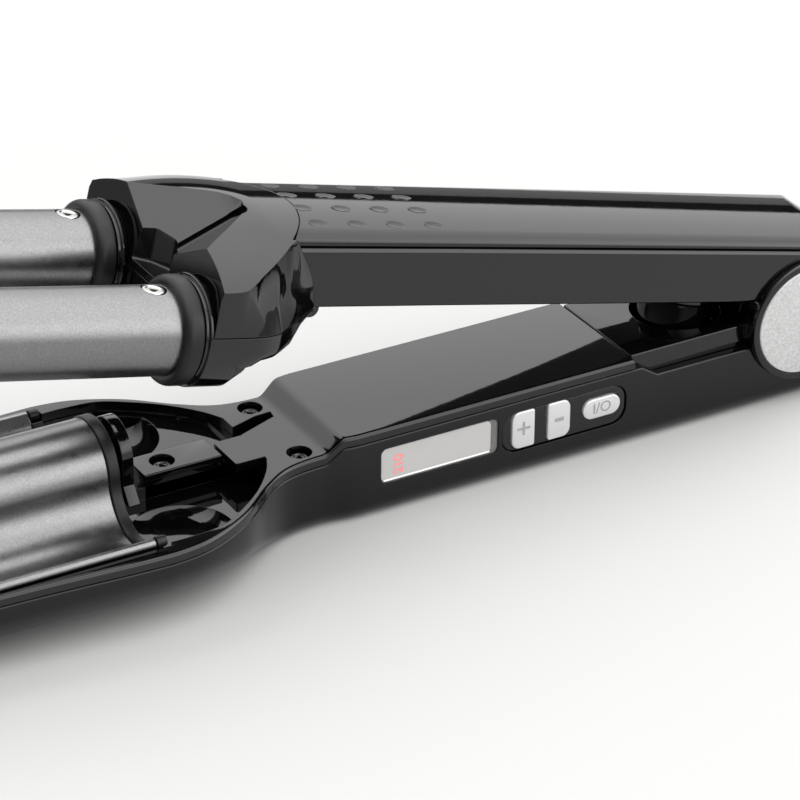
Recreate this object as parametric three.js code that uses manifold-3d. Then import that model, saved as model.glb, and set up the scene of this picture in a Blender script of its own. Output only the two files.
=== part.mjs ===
// A hair waver: two sprung arms on one hinge. The upper arm carries two heated barrels in a forked
// yoke. The lower arm carries a wave-shaped heated plate in a tray, a display and three keys.
// Millimetres, +Z up. X = 0 is the hinge pin, -X points to the barrel tips, -Y is the display side,
// and Z = 0 is the flat underside of the lower arm.
import * as THREE from 'three';
import { mergeVertices } from 'three/addons/utils/BufferGeometryUtils.js';
import Module from 'manifold-3d';

const wasm = await Module();
wasm.setup();

// Driving sizes: barrels and wave plate
const BARREL_RADIUS = 9.5;
const BARREL_WALL = 1.2;
const BARREL_SPACING = 40.4;
const BARREL_ABOVE_HINGE = 2.9;
const BARREL_LENGTH = 87;
const BARREL_SOCKET_DEPTH = 8;
const BARREL_TIP_LENGTH = 14;
const NEST_GAP = 0.6;
const HUMP_BELOW_BARREL = 1.1;
const PLATE_WALL = 2;
const RAIL_BELOW_BARREL = 4.6;
const RAIL_RADIUS = 1.1;
const RAIL_CAP_RADIUS = 1.5;

// Driving sizes: arms and hinge
const HINGE_HEIGHT = 20.6;
const OPEN_ANGLE = 12.9;
const ARM_WIDTH = 33.4;
const SHELL_WALL = 2;
const DECK_HEIGHT = 21.55;
const COVER_THICKNESS = 2.2;
const TRAY_DROP = 3.25;
const ARM_REAR = 19;
const SHELL_REAR = 24;
const DRUM_RADIUS = 14.3;
const DRUM_INNER_WIDTH = 21.8;
const PIN_RADIUS = 2.6;
const BUSH_WALL = 1.4;
const CAP_RING_RADIUS = 15;
const CAP_RING_DEPTH = 1.5;
const DISC_RADIUS = 13.3;
const DISC_THICKNESS = 1.2;
const DISC_SEAT = 0.6;
const WELL_CENTRE = -24.7;
const WELL_RADIUS = 10.6;
const WELL_FLOOR = 6;
const SPRING_RADIUS = 5;
const SPRING_WIRE = 1.2;
const SPRING_TURNS = 5;
const SPRING_CUP_RADIUS = 8.8;
const SPRING_CUP_WALL = 1.2;
const SPRING_CUP_BOTTOM = -7;

// Driving sizes: yoke and its collars, seen with the arms closed
const COLLAR_FRONT = -172.4;
const COLLAR_LENGTH = 4.4;
const COLLAR_RADIUS = 11.6;
const SOCKET_RING_RADIUS = 11.9;
const SOCKET_RING_LENGTH = 1.9;
const SOCKET_RADIUS = 12.6;
const SPIGOT_RADIUS = 10.7;
const SPIGOT_LENGTH = 4.5;
const UPPER_SETBACK = 1.5;
const YOKE_HALF_WIDTH = 30.9;
const YOKE_PARTING = 5.6;
const YOKE_SEAM = -135;
const YOKE_SEAM_RADIUS = 18;
const LOBE_TOP = 20;
const LOBE_RIDGE = 19;
const NOTCH_WIDTH = 17;
const NOTCH_FLOOR = 7;
const NOTCH_DEPTH = 8.2;
const NOTCH_CORNER = 3;
const SCOOP_RADIUS = 6.3;
const SCOOP_TIP = -147.3;
const SCOOP_TIP_HEIGHT = 21.6;
const SCOOP_ANGLE = 50;

// Driving sizes: display, keys and screws
const DISPLAY_LENGTH = 30.2;
const DISPLAY_BOTTOM = 7.6;
const DISPLAY_HEIGHT = 8.9;
const DISPLAY_CORNER = 1.6;
const DISPLAY_TO_KEYS = 0.9;
const KEY_PANEL_START = -81.6;
const KEY_PANEL_LENGTH = 33.2;
const KEY_PANEL_BOTTOM = 6.4;
const KEY_PANEL_HEIGHT = 10.1;
const KEY_PANEL_CORNER = 4;
const SIGN_KEY_LENGTH = 5.9;
const SIGN_KEY_HEIGHT = 9.2;
const POWER_KEY_LENGTH = 9.9;
const POWER_KEY_HEIGHT = 4.9;
const KEY_TRAVEL = 0.8;
const KEY_PROUD = 0.35;
const KEY_GAP = 0.25;
const SCREW_RADIUS = 2.1;
const YOKE_SCREW_X = -132.4;

// Small clearances
const FIT = 0.3;
const SLIDE = 0.4;
const RUNNING = 0.15;

// Finishes
const glossBlack = { color: 0x0b0b0c, roughness: 0.12, metalness: 0 };
const mattBlack = { color: 0x1b1b1c, roughness: 0.75, metalness: 0 };
const titanium = { color: 0x7d7f82, roughness: 0.35, metalness: 0.9 };
const silver = { color: 0xc9cacc, roughness: 0.4, metalness: 0.8 };
const steel = { color: 0xb4b6b8, roughness: 0.25, metalness: 1 };
const ceramic = { color: 0xd8d2c4, roughness: 0.8, metalness: 0 };
const brass = { color: 0xb5964f, roughness: 0.4, metalness: 0.9 };
const boardGreen = { color: 0x1f5a38, roughness: 0.6, metalness: 0 };
const panelGrey = { color: 0xb9b6b1, roughness: 0.3, metalness: 0 };
const clear = { color: 0xe6e8e8, roughness: 0.05, metalness: 0, transparent: true, opacity: 0.4 };

// Places worked out from the driving sizes
const HALF_ARM = ARM_WIDTH / 2;
const BARREL_Y = BARREL_SPACING / 2;
const BARREL_REST_HEIGHT = HINGE_HEIGHT + BARREL_ABOVE_HINGE;
const HUMP_CENTRE_HEIGHT = BARREL_REST_HEIGHT - HUMP_BELOW_BARREL;
const RAIL_HEIGHT = BARREL_REST_HEIGHT - RAIL_BELOW_BARREL;
const DISPLAY_START = KEY_PANEL_START - DISPLAY_TO_KEYS - DISPLAY_LENGTH;
const YOKE_FRONT = COLLAR_FRONT + COLLAR_LENGTH + SOCKET_RING_LENGTH;
const PLATE_END = COLLAR_FRONT - 3;
const PLATE_START = PLATE_END - BARREL_LENGTH;
const GASKET_LENGTH = 2.6;
const RIM_TOP = DECK_HEIGHT - TRAY_DROP;
const SHANK_RADIUS = SCREW_RADIUS * 0.6;
const SIDES = [['near', -1], ['far', 1]];

// Solids and geometry
function toSolid(geometry) {
  const bare = geometry.clone();
  bare.deleteAttribute('normal');
  bare.deleteAttribute('uv');
  const merged = mergeVertices(bare, 1e-4);
  const vertProperties = new Float32Array(merged.attributes.position.array);
  const triVerts = new Uint32Array(merged.index.array);
  return new wasm.Manifold(new wasm.Mesh({ numProp: 3, vertProperties, triVerts }));
}

function toGeometry(solid) {
  const mesh = solid.getMesh();
  const geometry = new THREE.BufferGeometry();
  geometry.setAttribute('position', new THREE.BufferAttribute(new Float32Array(mesh.vertProperties), 3));
  geometry.setIndex(new THREE.BufferAttribute(new Uint32Array(mesh.triVerts), 1));
  geometry.computeVertexNormals();
  return geometry;
}

// An outline is a THREE.Shape. It is swept along X as (y, z), along Y as (x, z) or along Z as (x, y).
function sweep(shape, axis, from, to) {
  const geometry = new THREE.ExtrudeGeometry(shape, { depth: to - from, bevelEnabled: false });
  const frame = new THREE.Matrix4();
  if (axis === 'x') {
    geometry.translate(0, 0, from);
    frame.makeBasis(new THREE.Vector3(0, 1, 0), new THREE.Vector3(0, 0, 1), new THREE.Vector3(1, 0, 0));
  } else if (axis === 'y') {
    geometry.translate(0, 0, -to);
    frame.makeBasis(new THREE.Vector3(1, 0, 0), new THREE.Vector3(0, 0, 1), new THREE.Vector3(0, -1, 0));
  } else {
    geometry.translate(0, 0, from);
  }
  geometry.applyMatrix4(frame);
  return toSolid(geometry);
}

function shapeOf(points) {
  return new THREE.Shape(points.map(([u, v]) => new THREE.Vector2(u, v)));
}

function block(x0, x1, y0, y1, z0, z1) {
  const geometry = new THREE.BoxGeometry(x1 - x0, y1 - y0, z1 - z0);
  geometry.translate((x0 + x1) / 2, (y0 + y1) / 2, (z0 + z1) / 2);
  return toSolid(geometry);
}

// A round bar along one axis. The centre gives the other two coordinates in x, y, z order.
function rod(axis, radius, from, to, centre, sides = 28) {
  const geometry = new THREE.CylinderGeometry(radius, radius, to - from, sides);
  const middle = (from + to) / 2;
  if (axis === 'x') {
    geometry.rotateZ(-Math.PI / 2).translate(middle, centre[0], centre[1]);
  } else if (axis === 'y') {
    geometry.translate(centre[0], middle, centre[1]);
  } else {
    geometry.rotateX(Math.PI / 2).translate(centre[0], centre[1], middle);
  }
  return toSolid(geometry);
}

// A turned piece from a closed profile of [radius, along] points, with its axis along X.
function turned(profile, centre, sides = 32) {
  const points = [...profile, profile[0]].map(([radius, along]) => new THREE.Vector2(radius, along));
  const geometry = new THREE.LatheGeometry(points, sides);
  geometry.rotateZ(-Math.PI / 2).translate(0, centre[0], centre[1]);
  return toSolid(geometry);
}

// Joins rings of [y, z] points, one ring at each x, and closes both ends.
function loft(stations) {
  const count = stations[0].ring.length;
  const position = stations.flatMap(({ x, ring }) => ring.flatMap(([y, z]) => [x, y, z]));
  const index = [];
  for (let s = 0; s < stations.length - 1; s += 1) {
    for (let i = 0; i < count; i += 1) {
      const a = s * count + i;
      const b = s * count + ((i + 1) % count);
      index.push(a, b, b + count, a, b + count, a + count);
    }
  }
  const last = (stations.length - 1) * count;
  const flat = (ring) => ring.map(([y, z]) => new THREE.Vector2(y, z));
  for (const [a, b, c] of THREE.ShapeUtils.triangulateShape(flat(stations[0].ring), [])) {
    index.push(c, b, a);
  }
  for (const [a, b, c] of THREE.ShapeUtils.triangulateShape(flat(stations.at(-1).ring), [])) {
    index.push(last + a, last + b, last + c);
  }
  const geometry = new THREE.BufferGeometry();
  geometry.setAttribute('position', new THREE.Float32BufferAttribute(position, 3));
  geometry.setIndex(index);
  return toSolid(geometry);
}

// Mirrors half a ring, given from the bottom middle round +Y to the top middle.
function bothSides(half) {
  const mirrored = half.slice(1, -1).reverse().map(([y, z]) => [-y, z]);
  return [...half, ...mirrored];
}

function blend(from, to, share) {
  return from + (to - from) * Math.min(1, Math.max(0, share));
}

// A smooth line through a few [x, value] points, read at any x.
function curveThrough(points) {
  const curve = new THREE.SplineCurve(points.map(([x, value]) => new THREE.Vector2(x, value)));
  const samples = curve.getPoints(points.length * 8);
  return (x) => {
    const i = samples.findIndex((p) => p.x >= x);
    if (i === 0) return samples[0].y;
    if (i < 0) return samples.at(-1).y;
    const before = samples[i - 1];
    return blend(before.y, samples[i].y, (x - before.x) / (samples[i].x - before.x));
  };
}

function spaced(from, to, count) {
  return Array.from({ length: count + 1 }, (_, i) => from + ((to - from) * i) / count);
}

function arc(centre, radius, from, to, count) {
  return spaced(from, to, count).map((degrees) => {
    const angle = THREE.MathUtils.degToRad(degrees);
    return [centre[0] + radius[0] * Math.cos(angle), centre[1] + radius[1] * Math.sin(angle)];
  });
}

// Scene
const waver = new THREE.Group();
const upperArm = new THREE.Group();
upperArm.position.z = HINGE_HEIGHT;
upperArm.rotation.y = THREE.MathUtils.degToRad(OPEN_ANGLE);
waver.add(upperArm);

function add(name, solid, finish, parent = waver) {
  const mesh = new THREE.Mesh(toGeometry(solid), new THREE.MeshStandardMaterial(finish));
  mesh.name = name;
  parent.add(mesh);
  return mesh;
}

// Outline of the lower arm from above: half widths of the outside and of the tray's opening
const TRAY_END = -118;
const outerHalfWidth = curveThrough([
  [PLATE_START - BARREL_TIP_LENGTH, 32.2], [-212, 34], [-180, 36], [-170, 36], [-162, 34.2], [-152.5, 29.2],
  [-143.5, 21.6], [-135.8, 16.9], [-126.5, 15.6], [TRAY_END, HALF_ARM], [TRAY_END + 8, HALF_ARM],
]);
const CAVITY_START = -171.8;
const CAVITY_END = -137.6;
const cavityHalfWidth = curveThrough([
  [CAVITY_START, 31.5], [-166, 31.5], [-158.5, 30.5], [-151.5, 26.2], [-145.5, 21.2], [-140.4, 15.2],
  [CAVITY_END, 10.2],
]);

function shellHalfWidth(x) {
  if (x <= TRAY_END) return outerHalfWidth(x);
  const round = SHELL_REAR - 10;
  if (x <= round) return HALF_ARM;
  return HALF_ARM * Math.sqrt(1 - ((x - round) / (SHELL_REAR - round + 2.4)) ** 2);
}

// Height of the top of the lower arm's cover: deck, ramp and tray rim
const RAMP_TOP = -121.7;
const RAMP_FOOT = -125.6;
const SEAM_X = KEY_PANEL_START + KEY_PANEL_LENGTH + 2;
const STEP_TOP = SEAM_X + 2;
const STEP_FOOT = STEP_TOP + 4.2;
const REAR_EDGE_HEIGHT = 16.3;

function coverTop(x) {
  return blend(RIM_TOP, DECK_HEIGHT, (x - RAMP_FOOT) / (RAMP_TOP - RAMP_FOOT));
}

function shellTop(x) {
  const front = coverTop(x) - COVER_THICKNESS - FIT;
  return blend(front, REAR_EDGE_HEIGHT, (x - STEP_TOP) / (STEP_FOOT - STEP_TOP));
}

// The bottom corner grows from a small radius on the handle to a deep bowl under the tray.
function bottomCorner(halfWidth) {
  const share = (halfWidth - HALF_ARM) / 19.3;
  return [blend(4, 26, share), blend(4, 15.2, share)];
}

function shellRing(x, inset, top) {
  const outer = shellHalfWidth(x);
  const [wide, high] = bottomCorner(outer);
  const corner = arc([outer - wide, high], [wide - inset, high - inset], -90, 0, 3);
  return bothSides([[0, inset], ...corner, [outer - inset, top], [0, top]]);
}

const SHELL_START = PLATE_START;
const shellStations = [
  ...spaced(SHELL_START, -180, 2), ...spaced(-172, -130, 8), RAMP_FOOT, RAMP_TOP, TRAY_END, SEAM_X,
  STEP_TOP, STEP_FOOT, 0, ...spaced(SHELL_REAR - 10, SHELL_REAR, 4),
];

function lowerShellSpace(inset, rear, top) {
  const stations = shellStations.filter((x) => x < rear);
  return loft([...stations, rear].map((x) => ({ x, ring: shellRing(x, inset, top(x)) })));
}

const GLAND_HEIGHT = 9;
const GLAND_RADIUS = 4.6;

function lowerShell() {
  const outside = lowerShellSpace(0, SHELL_REAR, shellTop);
  const inside = lowerShellSpace(SHELL_WALL, SHELL_REAR - SHELL_WALL, () => DECK_HEIGHT + 5);
  const outsideWall = [-HALF_ARM - 1, -HALF_ARM + SHELL_WALL + 1];
  return outside
    .subtract(inside)
    .subtract(sweep(displayOutline(0), 'y', ...outsideWall))
    .subtract(sweep(panelOutline(0), 'y', ...outsideWall))
    .subtract(rod('y', DRUM_RADIUS + FIT, -HALF_ARM - 1, HALF_ARM + 1, [0, HINGE_HEIGHT], 32))
    .subtract(rod('x', GLAND_RADIUS + SLIDE, SHELL_REAR - 4, SHELL_REAR + 1, [0, GLAND_HEIGHT], 24));
}

function roundedWindow(start, length, bottom, height, radius, inset) {
  const r = radius - inset;
  const x0 = start + inset;
  const x1 = start + length - inset;
  const z0 = bottom + inset;
  const z1 = bottom + height - inset;
  return shapeOf([
    ...arc([x1 - r, z0 + r], [r, r], -90, 0, 4), ...arc([x1 - r, z1 - r], [r, r], 0, 90, 4),
    ...arc([x0 + r, z1 - r], [r, r], 90, 180, 4), ...arc([x0 + r, z0 + r], [r, r], 180, 270, 4),
  ]);
}

function displayOutline(inset) {
  return roundedWindow(DISPLAY_START, DISPLAY_LENGTH, DISPLAY_BOTTOM, DISPLAY_HEIGHT, DISPLAY_CORNER, inset);
}

function panelOutline(inset) {
  const corner = KEY_PANEL_CORNER;
  return roundedWindow(KEY_PANEL_START, KEY_PANEL_LENGTH, KEY_PANEL_BOTTOM, KEY_PANEL_HEIGHT, corner, inset);
}

// Deck, ramp and tray rim in one moulding, with a lip over the tray's end and a wire slot beside it
const LIP_TIP = -144.6;
const LIP_NEAR = -9.3;
const LIP_FAR = 1.4;
const NECK_SCREW = [-130.2, 11.4];

function planOutline(halfWidth, from, to, count, grow = 0) {
  const edge = spaced(from, to, count).map((x) => [x, halfWidth(x) + grow]);
  return shapeOf([...edge.map(([x, y]) => [x, -y]), ...edge.reverse()]);
}

function sideBand(from, to, top, depth) {
  const bends = [RAMP_FOOT, RAMP_TOP].filter((x) => x > from && x < to);
  const upper = [from, ...bends, to].map((x) => [x, top(x)]);
  const lower = upper.map(([x, z]) => [x, z - depth]).reverse();
  return sweep(shapeOf([...upper, ...lower]), 'y', -60, 60);
}

function deckCover() {
  const outline = sweep(planOutline(shellHalfWidth, SHELL_START, SEAM_X, 44), 'z', 0, 40);
  const plateBay = block(SHELL_START - 1, CAVITY_START + 0.1, -32.8, 32.8, 0, 40);
  const cavity = sweep(planOutline(cavityHalfWidth, CAVITY_START, CAVITY_END, 13), 'z', 0, 40);
  const lip = block(LIP_TIP, CAVITY_END + 1, LIP_NEAR, LIP_FAR, 0, 40);
  const slot = shapeOf([
    [-142, LIP_FAR], [-138, LIP_FAR], [-127.4, 5.4], [-127, 7.8], [-131, 7.6], [-142, 4.2],
  ]);
  let cover = sideBand(SHELL_START, SEAM_X, coverTop, COVER_THICKNESS).intersect(outline);
  cover = cover.subtract(plateBay).subtract(cavity.subtract(lip)).subtract(sweep(slot, 'z', 0, 40));
  for (const [, side] of SIDES) {
    const centre = [NECK_SCREW[0], side * NECK_SCREW[1]];
    cover = cover.subtract(rod('z', SCREW_RADIUS + SLIDE, 0, 40, centre, 20));
  }
  return cover;
}

// Floor of the tray behind the plate, with a bowl for each collar and an upstand under the rim
const TRAY_FLOOR = 12.2;
const BOWL_CENTRE = -163.5;
const BOWL_RADIUS = 13.4;
const BOWL_FLOOR = 9;
const PLINTH_HALF_WIDTH = 4.3;
const PLINTH_SCREW_X = -157.9;

function trayInsert() {
  const rimBottom = RIM_TOP - COVER_THICKNESS - FIT;
  const grown = (x) => Math.min(cavityHalfWidth(x) + 1.6, shellHalfWidth(x) - SHELL_WALL - FIT);
  const outline = sweep(planOutline(grown, CAVITY_START + 0.4, CAVITY_END, 13), 'z', 0, rimBottom);
  const opening = planOutline(cavityHalfWidth, CAVITY_START - 1, CAVITY_END - 1.8, 13);
  const hollow = sweep(opening, 'z', TRAY_FLOOR, 40);
  const inside = lowerShellSpace(SHELL_WALL + FIT, -100, () => 30);
  let insert = outline.intersect(inside).subtract(hollow);
  const within = (x) => cavityHalfWidth(x) - 1.4;
  const reach = sweep(planOutline(within, CAVITY_START - 1, CAVITY_END, 13), 'z', 0, 40);
  for (const [, side] of SIDES) {
    const bowl = rod('z', BOWL_RADIUS, BOWL_FLOOR, 40, [BOWL_CENTRE, side * BARREL_Y], 28);
    insert = insert.subtract(bowl.intersect(reach));
  }
  return insert
    .subtract(rod('z', 2.6, 8, 40, [-139, -6.4], 20))
    .subtract(rod('z', SHANK_RADIUS + SLIDE, 5, 40, [PLINTH_SCREW_X, 0], 16));
}

function plinth() {
  const cap = block(-164.2, -145.4, -PLINTH_HALF_WIDTH, PLINTH_HALF_WIDTH, RIM_TOP - 1.8, RIM_TOP);
  const half = PLINTH_HALF_WIDTH - 0.5;
  const stem = block(-164.2, -146, -half, half, TRAY_FLOOR, RIM_TOP - 1);
  return cap
    .add(stem)
    .subtract(rod('z', SCREW_RADIUS + SLIDE, RIM_TOP - 2.2, 40, [PLINTH_SCREW_X, 0], 20))
    .subtract(rod('z', SHANK_RADIUS + SLIDE, 0, 40, [PLINTH_SCREW_X, 0], 16));
}

// A flat-headed screw seen from above: its head's top, its head's height and its whole length
function screw(x, y, top, head, length) {
  const shank = rod('z', SHANK_RADIUS, top - length, top - head / 2, [x, y], 10);
  const recess = shapeOf(arc([x, y], [1, 1], 90, 330, 2));
  return rod('z', SCREW_RADIUS, top - head, top, [x, y], 16)
    .add(shank)
    .subtract(sweep(recess, 'z', top - head / 2, top + 1));
}

add('lower_shell', lowerShell(), glossBlack);
add('deck_cover', deckCover(), glossBlack);
add('tray_insert', trayInsert(), glossBlack);
add('wire_plinth', plinth(), glossBlack);
add('plinth_screw', screw(PLINTH_SCREW_X, 0, RIM_TOP - 0.5, 1.4, 9.5), steel);
for (const [name, side] of SIDES) {
  const y = side * NECK_SCREW[1];
  add(`neck_screw_${name}`, screw(NECK_SCREW[0], y, RIM_TOP - 0.5, 1.4, 6), steel);
}

// Wave plate: two valleys round the closed barrels, a hump between them and a rail down each side
const VALLEY_RADIUS = BARREL_RADIUS + NEST_GAP;
const HUMP_REACH = Math.hypot(BARREL_Y, HUMP_BELOW_BARREL);
const HUMP_RADIUS = HUMP_REACH - VALLEY_RADIUS;
const TANGENT = THREE.MathUtils.radToDeg(Math.asin(HUMP_BELOW_BARREL / HUMP_REACH));
const PLATE_BASE = BARREL_REST_HEIGHT - VALLEY_RADIUS - PLATE_WALL;
const VALLEY_EDGE = 328;
const RAIL_Y = 31.2;

function waveLine(offset) {
  const radius = VALLEY_RADIUS + offset;
  const valley = arc([BARREL_Y, BARREL_REST_HEIGHT], [radius, radius], 180 + TANGENT, VALLEY_EDGE, 10);
  const hump = arc([0, HUMP_CENTRE_HEIGHT], [HUMP_RADIUS - offset, HUMP_RADIUS - offset], 90, TANGENT, 7);
  return [...hump, ...valley.slice(1)];
}

// The plate's section, with its base flat under the hump
function wavePlateSection() {
  const top = waveLine(0);
  const rail = arc([RAIL_Y, RAIL_HEIGHT], [RAIL_RADIUS, RAIL_RADIUS], 150, -90, 8);
  const outer = waveLine(PLATE_WALL).filter(([y, z]) => y > BARREL_Y && z < RAIL_HEIGHT - RAIL_RADIUS - 0.4);
  const half = [...top, ...rail, ...outer.reverse(), [BARREL_Y, PLATE_BASE]];
  return shapeOf([...half, ...half.slice(1).reverse().map(([y, z]) => [-y, z])]);
}

function waveStrip(from, to, thickness) {
  const top = waveLine(-0.35);
  const under = waveLine(thickness);
  const full = (half) => [...half.slice(1).reverse().map(([y, z]) => [-y, z]), ...half];
  return sweep(shapeOf([...full(top), ...full(under).reverse()]), 'x', from, to);
}

function bulkhead(from, to) {
  const arch = arc([0, 24.6], [7.4, 7.4], 180, 0, 14);
  const shape = shapeOf([[-10, TRAY_FLOOR], [-10, 15.5], [-7.4, 19], ...arch, [7.4, 19], [10, 15.5],
    [10, TRAY_FLOOR]].reverse());
  for (const z of [15, 22.4]) {
    const slot = [[-3.6, z], [3.6, z], [3.6, z + 4.6], [-3.6, z + 4.6]];
    shape.holes.push(new THREE.Path(slot.map(([y, h]) => new THREE.Vector2(y, h))));
  }
  return sweep(shape, 'x', from, to);
}

const CARRIER_HALF_WIDTH = 7.6;
const CARRIER_WALL = 2;
const HEATER_THICKNESS = 1.4;

function plateCarrier() {
  const top = PLATE_BASE - HEATER_THICKNESS - 2 * FIT;
  const from = PLATE_START + 6;
  const to = PLATE_END - 6;
  const half = CARRIER_HALF_WIDTH - CARRIER_WALL;
  return block(from, to, -CARRIER_HALF_WIDTH, CARRIER_HALF_WIDTH, SHELL_WALL, top)
    .subtract(block(from + CARRIER_WALL, to - CARRIER_WALL, -half, half, 0, top - CARRIER_WALL));
}

add('wave_plate', sweep(wavePlateSection(), 'x', PLATE_START + FIT, PLATE_END), titanium);
add('plate_gasket_rear', waveStrip(PLATE_END, PLATE_END + GASKET_LENGTH, 2.2), mattBlack);
add('plate_bulkhead', bulkhead(CAVITY_START + 0.9, CAVITY_START + 3.6), glossBlack);
add('plate_carrier', plateCarrier(), mattBlack);
add('plate_heater', block(PLATE_START + 10, PLATE_END - 10, -5, 5, PLATE_BASE - HEATER_THICKNESS - FIT,
  PLATE_BASE - FIT), ceramic);
for (const [name, side] of SIDES) {
  const centre = [side * (RAIL_Y + RAIL_RADIUS - RAIL_CAP_RADIUS), RAIL_HEIGHT];
  const cap = rod('x', RAIL_CAP_RADIUS, PLATE_END + FIT, COLLAR_FRONT - FIT, centre, 16);
  add(`rail_cap_${name}`, cap, mattBlack);
}

// Cool tip of the lower arm: it carries the plate's section on to a rounded end
function lowerTip() {
  const from = PLATE_START - BARREL_TIP_LENGTH;
  const to = PLATE_START - FIT;
  const wave = waveLine(0);
  const edge = shellHalfWidth(from);
  const half = [...wave, [edge, RIM_TOP], [edge, -1], [0, -1]];
  const section = shapeOf([...half, ...half.slice(1, -1).reverse().map(([y, z]) => [-y, z])]);
  const body = loft(spaced(from, to, 2).map((x) => ({ x, ring: shellRing(x, 0, 40) })));
  const r = 9;
  const nose = shapeOf([
    ...arc([from + r, -edge + r], [r, r], 270, 180, 6), ...arc([from + r, edge - r], [r, r], 180, 90, 6),
    [to + 1, edge + 2], [to + 1, -edge - 2],
  ]);
  return body.intersect(sweep(section, 'x', from - 1, to)).intersect(sweep(nose, 'z', -1, 60));
}
add('lower_tip', lowerTip(), mattBlack);

// Hinge frame: rear deck, spring well and the outer drums that hold the pin
const FRAME_HALF_WIDTH = HALF_ARM - SHELL_WALL - FIT;
const FRAME_REAR_HEIGHT = REAR_EDGE_HEIGHT + 1.7;

function hingeFrame() {
  const side = shapeOf([
    [SEAM_X + FIT, 0], [SHELL_REAR - 5, 0], [SHELL_REAR - 5, FRAME_REAR_HEIGHT], [8, FRAME_REAR_HEIGHT],
    [-12, DECK_HEIGHT], [SEAM_X + FIT, DECK_HEIGHT],
  ]);
  const inside = lowerShellSpace(SHELL_WALL + FIT, SHELL_REAR - SHELL_WALL - FIT, () => 60);
  const core = sweep(side, 'y', -FRAME_HALF_WIDTH, FRAME_HALF_WIDTH).intersect(inside);
  const drums = rod('y', DRUM_RADIUS, -HALF_ARM, HALF_ARM, [0, HINGE_HEIGHT], 32);
  const half = DRUM_INNER_WIDTH / 2 + SLIDE;
  return core
    .add(drums)
    .subtract(rod('y', DRUM_RADIUS + SLIDE, -half, half, [0, HINGE_HEIGHT], 32))
    .subtract(block(-DRUM_RADIUS, DRUM_RADIUS, -half, half, HINGE_HEIGHT, 60))
    .subtract(rod('z', WELL_RADIUS, WELL_FLOOR, 60, [WELL_CENTRE, 0], 28))
    .subtract(rod('y', PIN_RADIUS + RUNNING, -HALF_ARM - 1, HALF_ARM + 1, [0, HINGE_HEIGHT], 20))
    .subtract(block(-40, 40, -6, 6, 0, WELL_FLOOR - 1.5));
}

add('hinge_frame', hingeFrame(), glossBlack);
add('hinge_pin', rod('y', PIN_RADIUS, -HALF_ARM, HALF_ARM, [0, HINGE_HEIGHT], 20), steel);
for (const [name, side] of SIDES) {
  const ring = rod('y', CAP_RING_RADIUS, 0, CAP_RING_DEPTH, [0, HINGE_HEIGHT], 28)
    .subtract(rod('y', DISC_RADIUS + RUNNING, DISC_SEAT, 2, [0, HINGE_HEIGHT], 28));
  const disc = rod('y', DISC_RADIUS, DISC_SEAT, DISC_SEAT + DISC_THICKNESS, [0, HINGE_HEIGHT], 28);
  const seat = HALF_ARM + FIT;
  const facing = side > 0 ? (solid) => solid.translate(0, seat, 0)
    : (solid) => solid.mirror([0, 1, 0]).translate(0, -seat, 0);
  add(`cap_ring_${name}`, facing(ring), glossBlack);
  add(`hinge_disc_${name}`, facing(disc), silver);
}

// Spring: one unbroken helix with its end turns laid flat
const SPRING_TOP_ABOVE_HINGE = 5.5;

class Helix extends THREE.Curve {
  getPoint(t, target = new THREE.Vector3()) {
    const angle = t * SPRING_TURNS * 2 * Math.PI;
    const bottom = WELL_FLOOR + SPRING_WIRE / 2 + FIT;
    const top = HINGE_HEIGHT + SPRING_TOP_ABOVE_HINGE - SPRING_WIRE / 2;
    const height = blend(bottom, top, t);
    return target.set(WELL_CENTRE + SPRING_RADIUS * Math.cos(angle), SPRING_RADIUS * Math.sin(angle), height);
  }
}

function spring() {
  const section = shapeOf(arc([0, 0], [SPRING_WIRE / 2, SPRING_WIRE / 2], 0, 288, 4));
  const steps = SPRING_TURNS * 8;
  return toSolid(new THREE.ExtrudeGeometry(section, { steps, extrudePath: new Helix() }));
}

// The smallest gap between turns, measured between points along the wire more than half a turn apart
function springGap() {
  const points = new Helix().getPoints(SPRING_TURNS * 24);
  const gaps = points.flatMap((p, i) => points.slice(i + 13).map((q) => p.distanceTo(q) - SPRING_WIRE));
  return Math.min(...gaps);
}
console.log('least gap between the turns of the spring:', springGap().toFixed(2), 'mm');
add('hinge_spring', spring(), steel);

// Electronics: board, display with its lens, and the panel for the keys
const BOARD_Y = -9.6;
const BOARD_THICKNESS = 1.6;
const DISPLAY_Y = -HALF_ARM + SHELL_WALL + FIT;

function keyPost(key, grow, from, to) {
  const outline = roundedWindow(key.start, key.length, key.bottom, key.height, key.radius + grow, 0);
  return sweep(outline, 'y', from, to);
}

// The plus and power keys keep their distance from the panel's ends. The minus key is between them.
const PLUS_START = KEY_PANEL_START + 2.6;
const POWER_START = KEY_PANEL_START + KEY_PANEL_LENGTH - 1.9 - POWER_KEY_LENGTH;
const MINUS_START = (PLUS_START + POWER_START) / 2;
const SIGN_KEY_BOTTOM = KEY_PANEL_BOTTOM + 0.8;
const POWER_KEY_BOTTOM = SIGN_KEY_BOTTOM + (SIGN_KEY_HEIGHT - POWER_KEY_HEIGHT) / 2 + 0.15;
const signKey = { length: SIGN_KEY_LENGTH, bottom: SIGN_KEY_BOTTOM, height: SIGN_KEY_HEIGHT, radius: 1.3 };
const keys = [
  { ...signKey, name: 'plus_key', start: PLUS_START },
  { ...signKey, name: 'minus_key', start: MINUS_START },
  {
    name: 'power_key', start: POWER_START, length: POWER_KEY_LENGTH, bottom: POWER_KEY_BOTTOM,
    height: POWER_KEY_HEIGHT, radius: 2.4,
  },
];
const PANEL_FACE = -HALF_ARM + 0.55;
const PANEL_BACK = -HALF_ARM + SHELL_WALL;
const FLANGE_BACK = PANEL_BACK + 1.3;

function grownKey(key, grow) {
  return {
    ...key, start: key.start - grow, length: key.length + 2 * grow, bottom: key.bottom - grow,
    height: key.height + 2 * grow,
  };
}

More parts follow.
